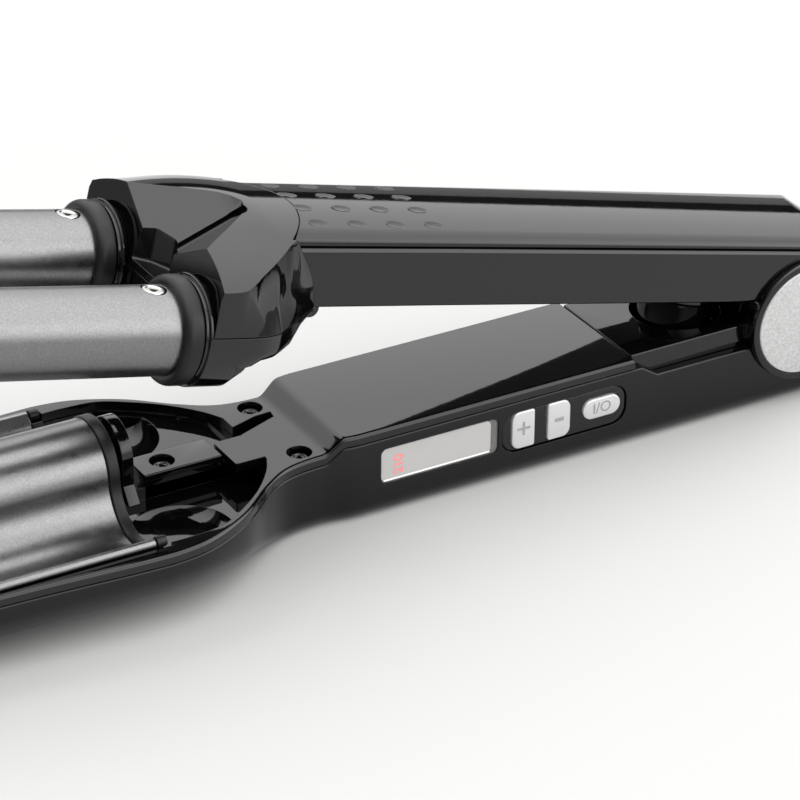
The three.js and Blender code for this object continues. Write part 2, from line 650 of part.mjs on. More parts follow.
function keyPanel() {
  let panel = sweep(panelOutline(KEY_GAP), 'y', PANEL_FACE, PANEL_BACK);
  for (const key of keys) {
    panel = panel.subtract(keyPost(grownKey(key, KEY_GAP), KEY_GAP, PANEL_FACE - 1, PANEL_BACK + 1));
  }
  return panel;
}

function keyCap(key) {
  const cap = keyPost(key, 0, -HALF_ARM - KEY_PROUD, FLANGE_BACK);
  const flange = keyPost(grownKey(key, 0.8), 0.8, PANEL_BACK + FIT, FLANGE_BACK);
  return cap.add(flange);
}

function board() {
  const base = block(DISPLAY_START - 4, SEAM_X - FIT, BOARD_Y, BOARD_Y + BOARD_THICKNESS, 4.5, 18.4);
  const switches = keys.map((key) => {
    const x = key.start + key.length / 2;
    const z = key.bottom + key.height / 2;
    const top = FLANGE_BACK + KEY_TRAVEL + RUNNING;
    return block(x - 2, x + 2, top, BOARD_Y + 0.5, z - 2, z + 2);
  });
  return switches.reduce((sum, one) => sum.add(one), base);
}

add('circuit_board', board(), boardGreen);
add('display_panel', block(DISPLAY_START - 1, DISPLAY_START + DISPLAY_LENGTH + 1, DISPLAY_Y, BOARD_Y - FIT,
  DISPLAY_BOTTOM - 1, DISPLAY_BOTTOM + DISPLAY_HEIGHT + 1), panelGrey);
add('display_lens', sweep(displayOutline(0.2), 'y', -HALF_ARM, -HALF_ARM + SHELL_WALL), clear);
add('key_panel', keyPanel(), glossBlack);
for (const key of keys) add(key.name, keyCap(key), silver);

// Cord gland at the rear: a flange inside the wall, a neck through it and a collar outside
function cordGland() {
  const inner = SHELL_REAR - SHELL_WALL;
  return turned([
    [2.2, inner - 2.4], [6.4, inner - 2.4], [6.4, inner - FIT], [GLAND_RADIUS, inner - FIT],
    [GLAND_RADIUS, SHELL_REAR + FIT], [6, SHELL_REAR + FIT], [6, SHELL_REAR + 3], [5, SHELL_REAR + 4.4],
    [2.2, SHELL_REAR + 4.4],
  ], [0, GLAND_HEIGHT], 16);
}
add('cord_gland', cordGland(), mattBlack);

// Upper arm, drawn closed and level in its own group, with heights measured from the hinge
const CROWN_AT_HINGE = 19.75;
const PARTING_AT_HINGE = 16;
const UNDERSIDE_AT_HINGE = 3.66;
const CROWN_RADIUS = 75;
const ARM_WALL = 1.8;
const LEDGE_WIDTH = 2.6;
const LEDGE_FALL = 0.3;
const crownHeight = (x) => CROWN_AT_HINGE - 0.0246 * x;
const partingHeight = (x) => PARTING_AT_HINGE - 0.0201 * x;
const undersideHeight = (x) => UNDERSIDE_AT_HINGE - 0.0124 * x;

function arch(x, y) {
  return crownHeight(x) - y ** 2 / (2 * CROWN_RADIUS);
}

// The crown stands on the body inside a narrow ledge, and its shoulders are round.
function crownRing(x, inset) {
  const edge = HALF_ARM - LEDGE_WIDTH - inset;
  const shoulder = edge - 1.6;
  const top = spaced(shoulder, 0, 6).map((y) => [y, arch(x, y) - inset]);
  const base = partingHeight(x) - (inset > 0 ? 4 : 0);
  const bend = arch(x, shoulder) - inset - 1.8;
  return bothSides([[0, base], [edge, base], [edge, bend], [edge - 0.45, bend + 1.15], ...top]);
}

function bodyRing(x, inset, top) {
  const edge = HALF_ARM - inset;
  const base = undersideHeight(x) + inset;
  const corner = arc([edge - 1.2, base + 1.2], [1.2, 1.2], -90, 0, 3);
  return bothSides([[0, base], ...corner, [edge, top - LEDGE_FALL], [edge - LEDGE_WIDTH, top], [0, top]]);
}

// The rounded rear end, and the curved seam where the yoke meets the arm
function rearEnd(inset) {
  const end = ARM_REAR - inset;
  const fall = arc([end - 15, 4], [15, 15.7 - inset], 0, 90, 10);
  const corner = 8;
  const y = HALF_ARM - corner - inset;
  const nearCorner = arc([end - corner, -y], [corner, corner], -90, 0, 6);
  const farCorner = arc([end - corner, y], [corner, corner], 0, 90, 6);
  const side = shapeOf([[-160, -40], [end, -40], ...fall, [-160, 60]]);
  const plan = shapeOf([
    [-160, -40], [end - corner, -40], ...nearCorner, ...farCorner, [end - corner, 40], [-160, 40],
  ]);
  return sweep(side, 'y', -40, 40).intersect(sweep(plan, 'z', -60, 80));
}

function behindSeam(shift) {
  const seam = (y) => YOKE_SEAM + shift - y ** 2 / (2 * YOKE_SEAM_RADIUS);
  const edge = spaced(-40, 40, 32).map((y) => [seam(y), y]);
  return sweep(shapeOf([...edge.reverse(), [60, -40], [60, 40]].reverse()), 'z', -60, 80);
}

function armLoft(ring, from = -152) {
  return loft([from, ARM_REAR + 1].map((x) => ({ x, ring: ring(x) })));
}

const hingeRound = (radius, halfWidth, sides = 32) => rod('y', radius, -halfWidth, halfWidth, [0, 0], sides);

// Grip: sixteen shallow ovals in a four by four grid on the crown
const GRIP_START = -133.4;
const GRIP_PITCH = 9.8;
const GRIP_ROWS = [-10.2, -3.5, 3.2, 9.9];
const GRIP_DEPTH = 0.35;

function gripOvals() {
  const ovals = [];
  for (let i = 0; i < 4; i += 1) {
    for (const y of GRIP_ROWS) {
      const x = GRIP_START + i * GRIP_PITCH;
      const oval = shapeOf(arc([x, y], [2.6, 1.7], 0, 315, 7));
      ovals.push(sweep(oval, 'z', arch(x, y) - GRIP_DEPTH, 60));
    }
  }
  return ovals;
}

function armCrown() {
  let crown = armLoft((x) => crownRing(x, 0)).intersect(rearEnd(0));
  crown = crown.subtract(armLoft((x) => crownRing(x, ARM_WALL)).intersect(rearEnd(ARM_WALL)));
  for (const oval of gripOvals()) crown = crown.subtract(oval);
  return crown.intersect(behindSeam(FIT));
}

function armBody() {
  const outside = armLoft((x) => bodyRing(x, 0, partingHeight(x) - FIT)).intersect(rearEnd(0));
  const inside = armLoft((x) => bodyRing(x, ARM_WALL, 40)).intersect(rearEnd(ARM_WALL));
  const knuckle = hingeRound(DRUM_RADIUS, DRUM_INNER_WIDTH / 2);
  const besideKnuckle = hingeRound(DRUM_RADIUS + SLIDE, 40).subtract(hingeRound(40, DRUM_INNER_WIDTH / 2));
  return outside
    .subtract(inside)
    .intersect(behindSeam(FIT))
    .subtract(besideKnuckle)
    .add(knuckle)
    .subtract(hingeRound(PIN_RADIUS + BUSH_WALL + 0.1, 40, 20))
    .subtract(rod('z', SHANK_RADIUS + FIT, 0, 12, [YOKE_SCREW_X, 0], 16));
}

const bush = hingeRound(PIN_RADIUS + BUSH_WALL, DRUM_INNER_WIDTH / 2, 20)
  .subtract(hingeRound(PIN_RADIUS + RUNNING, 20, 20));

function springCup() {
  const x = WELL_CENTRE - 0.3;
  const top = undersideHeight(x) - FIT;
  const bore = SPRING_CUP_RADIUS - SPRING_CUP_WALL;
  const cup = rod('z', SPRING_CUP_RADIUS, SPRING_CUP_BOTTOM, top - 0.4, [x, 0], 32);
  return cup.subtract(rod('z', bore, SPRING_CUP_BOTTOM - 1, top - 2, [x, 0], 24));
}

add('arm_body', armBody(), glossBlack, upperArm);
add('arm_crown', armCrown(), glossBlack, upperArm);
add('hinge_bush', bush, brass, upperArm);
add('spring_cup', springCup(), glossBlack, upperArm);

// Yoke: the housing that spreads from the arm to the two sockets. This is the part's finest form.
const VALLEY_START = -143.5;
const VALLEY_LENGTH = 21;
const LOBE_SLOPE = 0.58;
const VALLEY_SLOPE = 1.03;
const VALLEY_FLOOR = 8;
const topEdge = curveThrough([
  [YOKE_FRONT, 30.7], [-160.3, 30.7], [-157.6, 30], [-153, 27.7], [-150.1, 25.3], [-147.1, 22.1],
  [-142.7, 16.7], [-138, 15.4], [-134, 14.6],
]);
const yokeOutline = curveThrough([
  [YOKE_FRONT, YOKE_HALF_WIDTH], [-155, YOKE_HALF_WIDTH], [-150, 29.6], [-147, 27.6], [-140.5, 22.1],
  [-134, 16.9],
]);

// Height of the top: the arm's crown at the neck, two ridges with a valley between them at the front
function yokeTop(x, y) {
  const spread = THREE.MathUtils.smoothstep(VALLEY_START - x, 0, VALLEY_LENGTH);
  const beside = Math.abs(y) - LOBE_RIDGE;
  const inner = LOBE_TOP - VALLEY_SLOPE * (Math.hypot(beside, 4) - 4);
  const outer = LOBE_TOP - LOBE_SLOPE * (Math.hypot(beside, 3) - 3);
  return blend(arch(x, y), Math.max(VALLEY_FLOOR, beside < 0 ? inner : outer), spread);
}

function yokeUpperRing(x) {
  const edge = topEdge(x);
  const foot = yokeOutline(x);
  const flute = blend(0, 1.5, (x + 157) / 6);
  const flank = [1 / 3, 2 / 3].map((share) => [
    blend(foot, edge, share) - flute, blend(YOKE_PARTING, yokeTop(x, edge), share)]);
  const top = spaced(edge, 0, 8).map((y) => [y, yokeTop(x, y)]);
  return bothSides([[0, YOKE_PARTING], [foot, YOKE_PARTING], ...flank, ...top]);
}

function yokeBottom(x, y) {
  const belly = blend(-1.2, 5, (x + 142.5) / 8);
  const beside = Math.min(1, Math.abs(Math.abs(y) - BARREL_Y) / SOCKET_RADIUS);
  const socket = BARREL_ABOVE_HINGE - SOCKET_RADIUS * Math.sqrt(1 - beside ** 2);
  return blend(belly, Math.min(belly, socket), (-152.6 - x) / 6);
}

function yokeLowerRing(x) {
  const foot = yokeOutline(x);
  const bottomEdge = Math.min(foot - 0.3, cavityHalfWidth(x) - 3.2);
  const top = YOKE_PARTING - FIT;
  const under = spaced(0, bottomEdge, 8).map((y) => [y, yokeBottom(x, y)]);
  const skirt = Math.max(1.6, Math.min(top - 0.4, yokeBottom(x, bottomEdge) + 1));
  return bothSides([...under, [foot, Math.min(skirt, top - 0.3)], [foot, top], [0, top]]);
}

function barrelBore(side) {
  const centre = [side * BARREL_Y, BARREL_ABOVE_HINGE];
  const spigotEnd = YOKE_FRONT + SPIGOT_LENGTH + FIT;
  return rod('x', BARREL_RADIUS + FIT, COLLAR_FRONT - 1, YOKE_FRONT + BARREL_SOCKET_DEPTH, centre)
    .add(rod('x', SPIGOT_RADIUS + FIT, COLLAR_FRONT - 1, spigotEnd, centre));
}

// A round scoop runs up the valley from the notch and comes out of the crown at its tip.
function scoop() {
  const below = 20;
  const above = 10;
  return rod('x', SCOOP_RADIUS, -below, above, [0, SCOOP_RADIUS], 32)
    .rotate([0, -SCOOP_ANGLE, 0])
    .translate([SCOOP_TIP, 0, SCOOP_TIP_HEIGHT]);
}

function notch() {
  const front = YOKE_FRONT - NOTCH_DEPTH;
  const plan = roundedWindow(front, 2 * NOTCH_DEPTH, -NOTCH_WIDTH / 2, NOTCH_WIDTH, NOTCH_CORNER, 0);
  return sweep(plan, 'z', NOTCH_FLOOR, 40);
}

// A tongue of the lower half reaches back under the arm and takes the screw from below.
const TONGUE_END = -129.4;
const TONGUE_BOTTOM = 1;
const TONGUE_HALF_WIDTH = 12;

function yokeTongue() {
  const top = undersideHeight(TONGUE_END) - FIT;
  const corner = arc([TONGUE_END - 2, TONGUE_BOTTOM + 2], [2, 2], -90, 0, 4);
  const side = shapeOf([[-138, TONGUE_BOTTOM], ...corner, [TONGUE_END, top], [-138, top]]);
  return sweep(side, 'y', -TONGUE_HALF_WIDTH, TONGUE_HALF_WIDTH);
}

function yokeScrewHole(radius, from, to) {
  return rod('z', radius, from, to, [YOKE_SCREW_X, 0], 16);
}

const yokeStations = (front) => spaced(front, -134, 10);
const armClear = armLoft((x) => bodyRing(x, -FIT, partingHeight(x)), -160)
  .add(armLoft((x) => crownRing(x, -FIT), -160))
  .intersect(behindSeam(0));

function yokeUpper() {
  const front = YOKE_FRONT + UPPER_SETBACK;
  return loft(yokeStations(front).map((x) => ({ x, ring: yokeUpperRing(x) })))
    .subtract(scoop())
    .subtract(notch())
    .subtract(armClear)
    .subtract(barrelBore(1))
    .subtract(barrelBore(-1));
}

function yokeLower() {
  return loft(yokeStations(YOKE_FRONT).map((x) => ({ x, ring: yokeLowerRing(x) })))
    .add(yokeTongue())
    .subtract(armClear)
    .subtract(barrelBore(1))
    .subtract(barrelBore(-1))
    .subtract(yokeScrewHole(SCREW_RADIUS + SLIDE, TONGUE_BOTTOM - 2, TONGUE_BOTTOM + 1.8))
    .subtract(yokeScrewHole(SHANK_RADIUS + FIT, 0, 12));
}

// The screw is drawn head up like the others and then turned over.
const yokeScrew = screw(YOKE_SCREW_X, 0, -TONGUE_BOTTOM - 0.3, 1.2, 7.5).mirror([0, 0, 1]);

add('yoke_upper', yokeUpper(), glossBlack, upperArm);
add('yoke_lower', yokeLower(), glossBlack, upperArm);
add('yoke_screw', yokeScrew, steel, upperArm);

// Barrels with their cores, collars, socket rings, screws and cool tips
const CORE_RADIUS = BARREL_RADIUS - BARREL_WALL - FIT;
const BARREL_END = YOKE_FRONT + BARREL_SOCKET_DEPTH - 0.6;
const BARREL_SCREW_X = COLLAR_FRONT - 3.5;
const BARREL_SCREW_RADIUS = 1.9;
const BARREL_SHANK_RADIUS = 1.2;

for (const [name, side] of SIDES) {
  const centre = [side * BARREL_Y, BARREL_ABOVE_HINGE];
  const screwTop = BARREL_ABOVE_HINGE + BARREL_RADIUS + 0.15;
  const screwAt = [BARREL_SCREW_X, side * BARREL_Y];
  const screwHole = rod('z', BARREL_SCREW_RADIUS + 0.2, BARREL_ABOVE_HINGE + 4, 40, screwAt, 16);
  const barrel = rod('x', BARREL_RADIUS, PLATE_START, BARREL_END, centre)
    .subtract(rod('x', BARREL_RADIUS - BARREL_WALL, PLATE_START - 1, BARREL_END + 1, centre))
    .subtract(screwHole);
  add(`barrel_${name}`, barrel, titanium, upperArm);
  const core = rod('x', CORE_RADIUS, PLATE_START + 2, BARREL_END - 1, centre, 24).subtract(screwHole);
  add(`barrel_core_${name}`, core, ceramic, upperArm);
  const inner = BARREL_RADIUS + FIT;
  const end = COLLAR_FRONT + COLLAR_LENGTH;
  add(`collar_${name}`, turned([
    [inner, COLLAR_FRONT], [COLLAR_RADIUS - 1.2, COLLAR_FRONT], [COLLAR_RADIUS - 0.3, COLLAR_FRONT + 0.5],
    [COLLAR_RADIUS, COLLAR_FRONT + 1.4], [COLLAR_RADIUS, end - 1], [COLLAR_RADIUS - 0.5, end - 0.2],
    [inner, end - 0.2],
  ], centre, 20), mattBlack, upperArm);
  add(`socket_ring_${name}`, turned([
    [inner, end], [SOCKET_RING_RADIUS - 0.6, end], [SOCKET_RING_RADIUS - 0.6, end + 0.8],
    [SOCKET_RING_RADIUS, end + 0.8], [SOCKET_RING_RADIUS, YOKE_FRONT - FIT],
    [SPIGOT_RADIUS, YOKE_FRONT - FIT],
    [SPIGOT_RADIUS, YOKE_FRONT + SPIGOT_LENGTH], [inner, YOKE_FRONT + SPIGOT_LENGTH],
  ], centre, 20), glossBlack, upperArm);
  const head = rod('z', BARREL_SCREW_RADIUS, screwTop - 1.5, screwTop, screwAt, 16);
  const shank = rod('z', BARREL_SHANK_RADIUS, BARREL_ABOVE_HINGE + 4.5, screwTop - 1, screwAt, 12);
  add(`barrel_screw_${name}`, head.add(shank), steel, upperArm);
  const tipEnd = PLATE_START - FIT;
  const nose = arc([0, tipEnd - BARREL_TIP_LENGTH + 5], [BARREL_RADIUS, 5], -90, 0, 4);
  add(`barrel_tip_${name}`, turned([
    ...nose, [BARREL_RADIUS, tipEnd], [CORE_RADIUS, tipEnd], [CORE_RADIUS, tipEnd + 1.6], [0, tipEnd + 1.6],
  ], centre, 20), mattBlack, upperArm);
}

export default waver;
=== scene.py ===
import math

import bpy
import numpy as np
from mathutils import Matrix, Vector


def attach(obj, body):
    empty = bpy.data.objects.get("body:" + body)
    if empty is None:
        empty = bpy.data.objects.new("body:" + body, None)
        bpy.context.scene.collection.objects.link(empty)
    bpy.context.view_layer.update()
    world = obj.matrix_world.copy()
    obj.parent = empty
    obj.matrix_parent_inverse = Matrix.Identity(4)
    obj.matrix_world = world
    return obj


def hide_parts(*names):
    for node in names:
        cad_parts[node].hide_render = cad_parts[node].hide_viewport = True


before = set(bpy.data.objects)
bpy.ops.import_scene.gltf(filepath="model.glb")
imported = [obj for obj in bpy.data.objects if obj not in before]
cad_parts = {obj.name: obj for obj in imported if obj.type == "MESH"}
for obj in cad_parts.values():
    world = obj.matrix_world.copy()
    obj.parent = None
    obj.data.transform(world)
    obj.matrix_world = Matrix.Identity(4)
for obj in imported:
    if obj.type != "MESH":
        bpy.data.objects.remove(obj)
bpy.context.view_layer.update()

MM = 0.001

# Barrels and wave plate
BARREL_RADIUS = 9.5
BARREL_WALL = 1.2
BARREL_Y = 20.2
BARREL_ABOVE_HINGE = 2.9
BARREL_TIP_LENGTH = 14
TIP_CORNER = 9
PLATE_END = -175.4
PLATE_START = -262.4
PLATE_WALL = 2
HUMP_CENTRE_HEIGHT = 22.4
NEST_GAP = 0.6
RAIL_Y = 31.2
RAIL_HEIGHT = 18.9
RAIL_RADIUS = 1.1
GASKET_LENGTH = 2.6

# Arms and hinge
HINGE_HEIGHT = 20.6
OPEN_ANGLE = 12.9
HALF_ARM = 16.7
SHELL_WALL = 2
SHELL_REAR = 24
DECK_HEIGHT = 21.55
RIM_TOP = 18.3
COVER_THICKNESS = 2.2
DRUM_RADIUS = 14.3
DRUM_INNER_HALF = 10.9
PIN_BORE = 2.75
BUSH_BORE = 4.1
CAP_RING_RADIUS = 15
DISC_RADIUS = 13.3
WELL_X = -24.7
WELL_RADIUS = 10.6
WELL_FLOOR = 6
SPRING_RADIUS = 5
SPRING_WIRE = 1.2
SPRING_TURNS = 5
SPRING_TOP = 5.5
BOSS_RADIUS = 8.8
BOSS_BOTTOM = -7
LEDGE_WIDTH = 1.2
LEDGE_ROUND = 1
LEDGE_INSET = 0.8
CORE_INSET = 0.85
SHOULDER = 3
# How far the crown's foot, the arm's bead and the arm's core stand above the parting line
CROWN_LIFT = 0.6
BEAD_LIFT = 0.25
CORE_LIFT = 0.58

# Yoke and collars, with the arm closed and heights from the hinge
COLLAR_FRONT = -172.4
COLLAR_LENGTH = 4.4
COLLAR_RADIUS = 11.6
RING_RADIUS = 11.9
SPIGOT_RADIUS = 10.2
SOCKET_RADIUS = 12.6
YOKE_FRONT = -166.1
YOKE_UPPER_FRONT = -164.6
YOKE_REAR = -134
YOKE_PARTING = 5.6
YOKE_SEAM = -135
YOKE_SEAM_RADIUS = 18
LOBE_TOP = 20
LOBE_RIDGE = 19
VALLEY_START = -143.5
VALLEY_LENGTH = 21
CREASE_RISE = 0.6
SCOOP_RADIUS = 3.1
SCOOP_DEPTH = 1.5
SCOOP_END = -146.3
SCOOP_HEIGHT = 21.8
CREASE_SLOPE = 0.49
NOTCH_FLOOR = 7
FLUTE_FOOT = -152.6
FLUTE_LEAN = 7
FLUTE_LENGTH = 17
FLUTE_DEPTH = 2

# Display and key panel (start, length, bottom and height), keys and screws
DISPLAY = DISPLAY_START, DISPLAY_LENGTH, DISPLAY_BOTTOM, DISPLAY_HEIGHT = -112.7, 30.2, 7.6, 8.9
DISPLAY_CORNER = 1.6
PANEL = -81.6, 33.2, 6.4, 10.1
PANEL_CORNER = 4
KEY_STANDS_OUT = 0.35
SCREW_RADIUS = 2.1
SHANK_SHARE = 0.6
YOKE_SCREW_X = -132.4
NECK_SCREW = (-130.2, 11.4)
PLINTH_SCREW_X = -157.9
PLINTH_FRONT = -164.2
PLINTH_HALF = 3.8

FIT = 0.3
SLIDE = 0.4
SIDES = (("near", -1), ("far", 1))
WALL = -HALF_ARM
OPENED = Matrix.Translation((0, 0, HINGE_HEIGHT * MM)) @ Matrix.Rotation(math.radians(OPEN_ANGLE), 4, "Y")


# Lines and outlines
def blend(start, end, share):
    return start + (end - start) * np.clip(share, 0, 1)


def smooth_line(points):
    """A value along X that runs smoothly through a few (x, value) points."""
    p = np.array(points, float)
    p = np.vstack([p[:1], p, p[-1:]])
    t = np.linspace(0, 1, 41)[:, None]
    runs = []
    for a, b, c, d in zip(p, p[1:], p[2:], p[3:]):
        runs.append(b + (c - a) / 2 * t + (a - 2.5 * b + 2 * c - d / 2) * t**2 + (1.5 * (b - c) + (d - a) / 2) * t**3)
    line = np.vstack(runs)
    return lambda x: np.interp(x, line[:, 0], line[:, 1])


def arc(centre, radius, start, end, count):
    angles = np.radians(np.linspace(start, end, count + 1))
    return [(centre[0] + radius[0] * math.cos(a), centre[1] + radius[1] * math.sin(a)) for a in angles]


def both_sides(half):
    """Closes half an outline or a ring, given from the bottom middle round +Y to the top middle."""
    return half + [(*x, -y, z) for *x, y, z in half[-2:0:-1]]


def rounded_box(x0, x1, z0, z1, r, count=8, left=None):
    """A box with round corners; those on the left may have a radius of their own."""
    q = r if left is None else left
    return (arc((x1 - r, z0 + r), (r, r), -90, 0, count) + arc((x1 - r, z1 - r), (r, r), 0, 90, count)
            + arc((x0 + q, z1 - q), (q, q), 90, 180, count) + arc((x0 + q, z0 + q), (q, q), 180, 270, count))


def window(start, length, bottom, height, radius, inset=0.0):
    return rounded_box(start + inset, start + length - inset, bottom + inset, bottom + height - inset, radius - inset)


# Making pieces
def alone(piece):
    bpy.ops.object.select_all(action="DESELECT")
    piece.select_set(True)
    bpy.context.view_layer.objects.active = piece


def edit(piece):
    alone(piece)
    bpy.ops.object.mode_set(mode="EDIT")
    bpy.ops.mesh.select_all(action="SELECT")


def tidy(piece):
    """Merges doubles and turns every face outwards."""
    edit(piece)
    bpy.ops.mesh.remove_doubles(threshold=1e-6)
    bpy.ops.mesh.normals_make_consistent(inside=False)
    bpy.ops.object.mode_set(mode="OBJECT")
    return piece


def drawn(name, points, edges=(), faces=()):
    mesh = bpy.data.meshes.new(name)
    mesh.from_pydata([Vector(p) * MM for p in points], edges, faces)
    piece = bpy.data.objects.new(name, mesh)
    bpy.context.scene.collection.objects.link(piece)
    return piece


def prism(name, outline, axis, start, end):
    """Draws a flat outline across an axis and extrudes it along the axis."""
    place = {"x": lambda u, v: (start, u, v), "y": lambda u, v: (u, start, v), "z": lambda u, v: (u, v, start)}
    step = Vector([end - start if axis == letter else 0 for letter in "xyz"]) * MM
    piece = drawn(name, [place[axis](u, v) for u, v in outline], faces=[range(len(outline))])
    edit(piece)
    bpy.ops.mesh.extrude_region_move(TRANSFORM_OT_translate={"value": step})
    bpy.ops.object.mode_set(mode="OBJECT")
    return tidy(piece)


def turned(name, profile, axis, centre, steps=96):
    """Spins a closed profile of (radius, along) points round an axis through the centre."""
    place = {"x": lambda r, a: (a, centre[0], centre[1] + r), "y": lambda r, a: (centre[0], a, centre[1] + r),
             "z": lambda r, a: (centre[0] + r, centre[1], a)}
    middle = {"x": (0, centre[0], centre[1]), "y": (centre[0], 0, centre[1]), "z": (centre[0], centre[1], 0)}
    count = len(profile)
    piece = drawn(name, [place[axis](r, a) for r, a in profile], edges=[(i, (i + 1) % count) for i in range(count)])
    edit(piece)
    bpy.ops.mesh.spin(steps=steps, angle=2 * math.pi, center=Vector(middle[axis]) * MM,
                      axis=[float(axis == letter) for letter in "xyz"])
    bpy.ops.object.mode_set(mode="OBJECT")
    return tidy(piece)


def rod(name, axis, radius, start, end, centre, steps=96):
    return turned(name, [(0, start), (radius, start), (radius, end), (0, end)], axis, centre, steps)


def skinned(name, rings):
    """A closed skin over rings of points with the same count, which no primitive gives: its sections
    are formulas."""
    count = len(rings[0])
    faces = [tuple(range(count)), tuple(range((len(rings) - 1) * count, len(rings) * count))]
    for s in range(len(rings) - 1):
        for i in range(count):
            a, b = s * count + i, s * count + (i + 1) % count
            faces.append((a, b, b + count, a + count))
    return tidy(drawn(name, [p for ring in rings for p in ring], faces=faces))


def applied(piece, kind, **settings):
    modifier = piece.modifiers.new(kind, kind)
    for key, value in settings.items():
        setattr(modifier, key, value)
    alone(piece)
    bpy.ops.object.modifier_apply(modifier=modifier.name)
    return piece


def combined(piece, other, operation):
    applied(piece, "BOOLEAN", operation=operation, solver="EXACT", object=other)
    bpy.data.objects.remove(other)
    return piece


def cut(piece, *others):
    for other in others:
        combined(piece, other, "DIFFERENCE")
    return piece


def rounded(piece, width, segments=3, angle=35):
    return applied(piece, "BEVEL", width=width * MM, segments=segments, limit_method="ANGLE",
                   angle_limit=math.radians(angle), use_clamp_overlap=True)


def handed_over(piece, node, look, smooth=30, body="lower_arm"):
    """Sets the shading and finish, and lets the piece stand for its CAD node, if any, on its body."""
    if body == "upper_arm":
        piece.data.transform(OPENED)
    alone(piece)
    bpy.ops.object.shade_smooth_by_angle(angle=math.radians(smooth))
    piece.data.materials.clear()
    piece.data.materials.append(FINISHES[look])
    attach(piece, body)
    if node:
        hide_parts(node)
    return piece


# Finishes
def with_values(node, **values):
    """Sets inputs of a node; an underscore stands for each space in an input's name."""
    for label, value in values.items():
        node.inputs[label.replace("_", " ")].default_value = value
    return node


def node_in(tree, kind, inner=None, **values):
    node = tree.nodes.new(kind)
    if inner:
        node.node_tree = inner
    return with_values(node, **values)


def wired(tree, *wires):
    """Links, each given as a node, its output, the next node and that one's input."""
    for source, out, target, into in wires:
        tree.links.new(source.outputs[out], target.inputs[into])


def group_with(name, output, kind, **inputs):
    """A node group with numbers as inputs and one output."""
    tree = bpy.data.node_groups.new(name, "ShaderNodeTree")
    for label, value in inputs.items():
        tree.interface.new_socket(name=label, in_out="INPUT", socket_type="NodeSocketFloat").default_value = value
    tree.interface.new_socket(name=output, in_out="OUTPUT", socket_type=kind)
    return tree, tree.nodes.new("NodeGroupInput"), tree.nodes.new("NodeGroupOutput")


def uneven_group():
    """A value that wanders between two others over the surface, as a rubbed or moulded gloss does."""
    tree, start, end = group_with("uneven", "Value", "NodeSocketFloat", Scale=100.0, Low=0.0, High=1.0)
    coords = node_in(tree, "ShaderNodeTexCoord")
    noise = node_in(tree, "ShaderNodeTexNoise", Detail=3.0)
    spread = node_in(tree, "ShaderNodeMapRange", From_Min=0.3, From_Max=0.7)
    wired(tree, (coords, "Object", noise, "Vector"), (start, "Scale", noise, "Scale"), (noise, "Fac", spread, "Value"),
          (start, "Low", spread, "To Min"), (start, "High", spread, "To Max"), (spread, "Result", end, "Value"))
    return tree


def edge_group():
    """A normal that rounds sharp edges by a hair, and carries a fine relief."""
    tree, start, end = group_with("soft_edge", "Normal", "NodeSocketVector", Height=0.0, Depth=0.00001)
    bevel = node_in(tree, "ShaderNodeBevel", Radius=0.00022)
    bevel.samples = 4
    bump = node_in(tree, "ShaderNodeBump")
    wired(tree, (bevel, "Normal", bump, "Normal"), (start, "Height", bump, "Height"),
          (start, "Depth", bump, "Distance"), (bump, "Normal", end, "Normal"))
    return tree


UNEVEN = uneven_group()
SOFT_EDGE = edge_group()


def finish(name, base, low, high, metallic, spots, grain, depth, tint, **sockets):
    """A finish with wandering roughness, fine relief, softened edges and a slight change of colour."""
    made = bpy.data.materials.new(name)
    made.use_nodes = True
    tree = made.node_tree
    shader = with_values(tree.nodes["Principled BSDF"], Metallic=metallic, **sockets)
    wander = node_in(tree, "ShaderNodeGroup", UNEVEN, Scale=spots, Low=low, High=high)
    relief = node_in(tree, "ShaderNodeGroup", UNEVEN, Scale=grain)
    edge = node_in(tree, "ShaderNodeGroup", SOFT_EDGE, Depth=depth * 1e-6)
    ramp = node_in(tree, "ShaderNodeValToRGB")
    ramp.color_ramp.elements[0].color = (*[c * (1 - tint) for c in base], 1)
    ramp.color_ramp.elements[1].color = (*[min(1, c * (1 + tint)) for c in base], 1)
    wired(tree, (wander, "Value", shader, "Roughness"), (relief, "Value", edge, "Height"),
          (edge, "Normal", shader, "Normal"), (relief, "Value", ramp, "Fac"), (ramp, "Color", shader, "Base Color"))
    return made


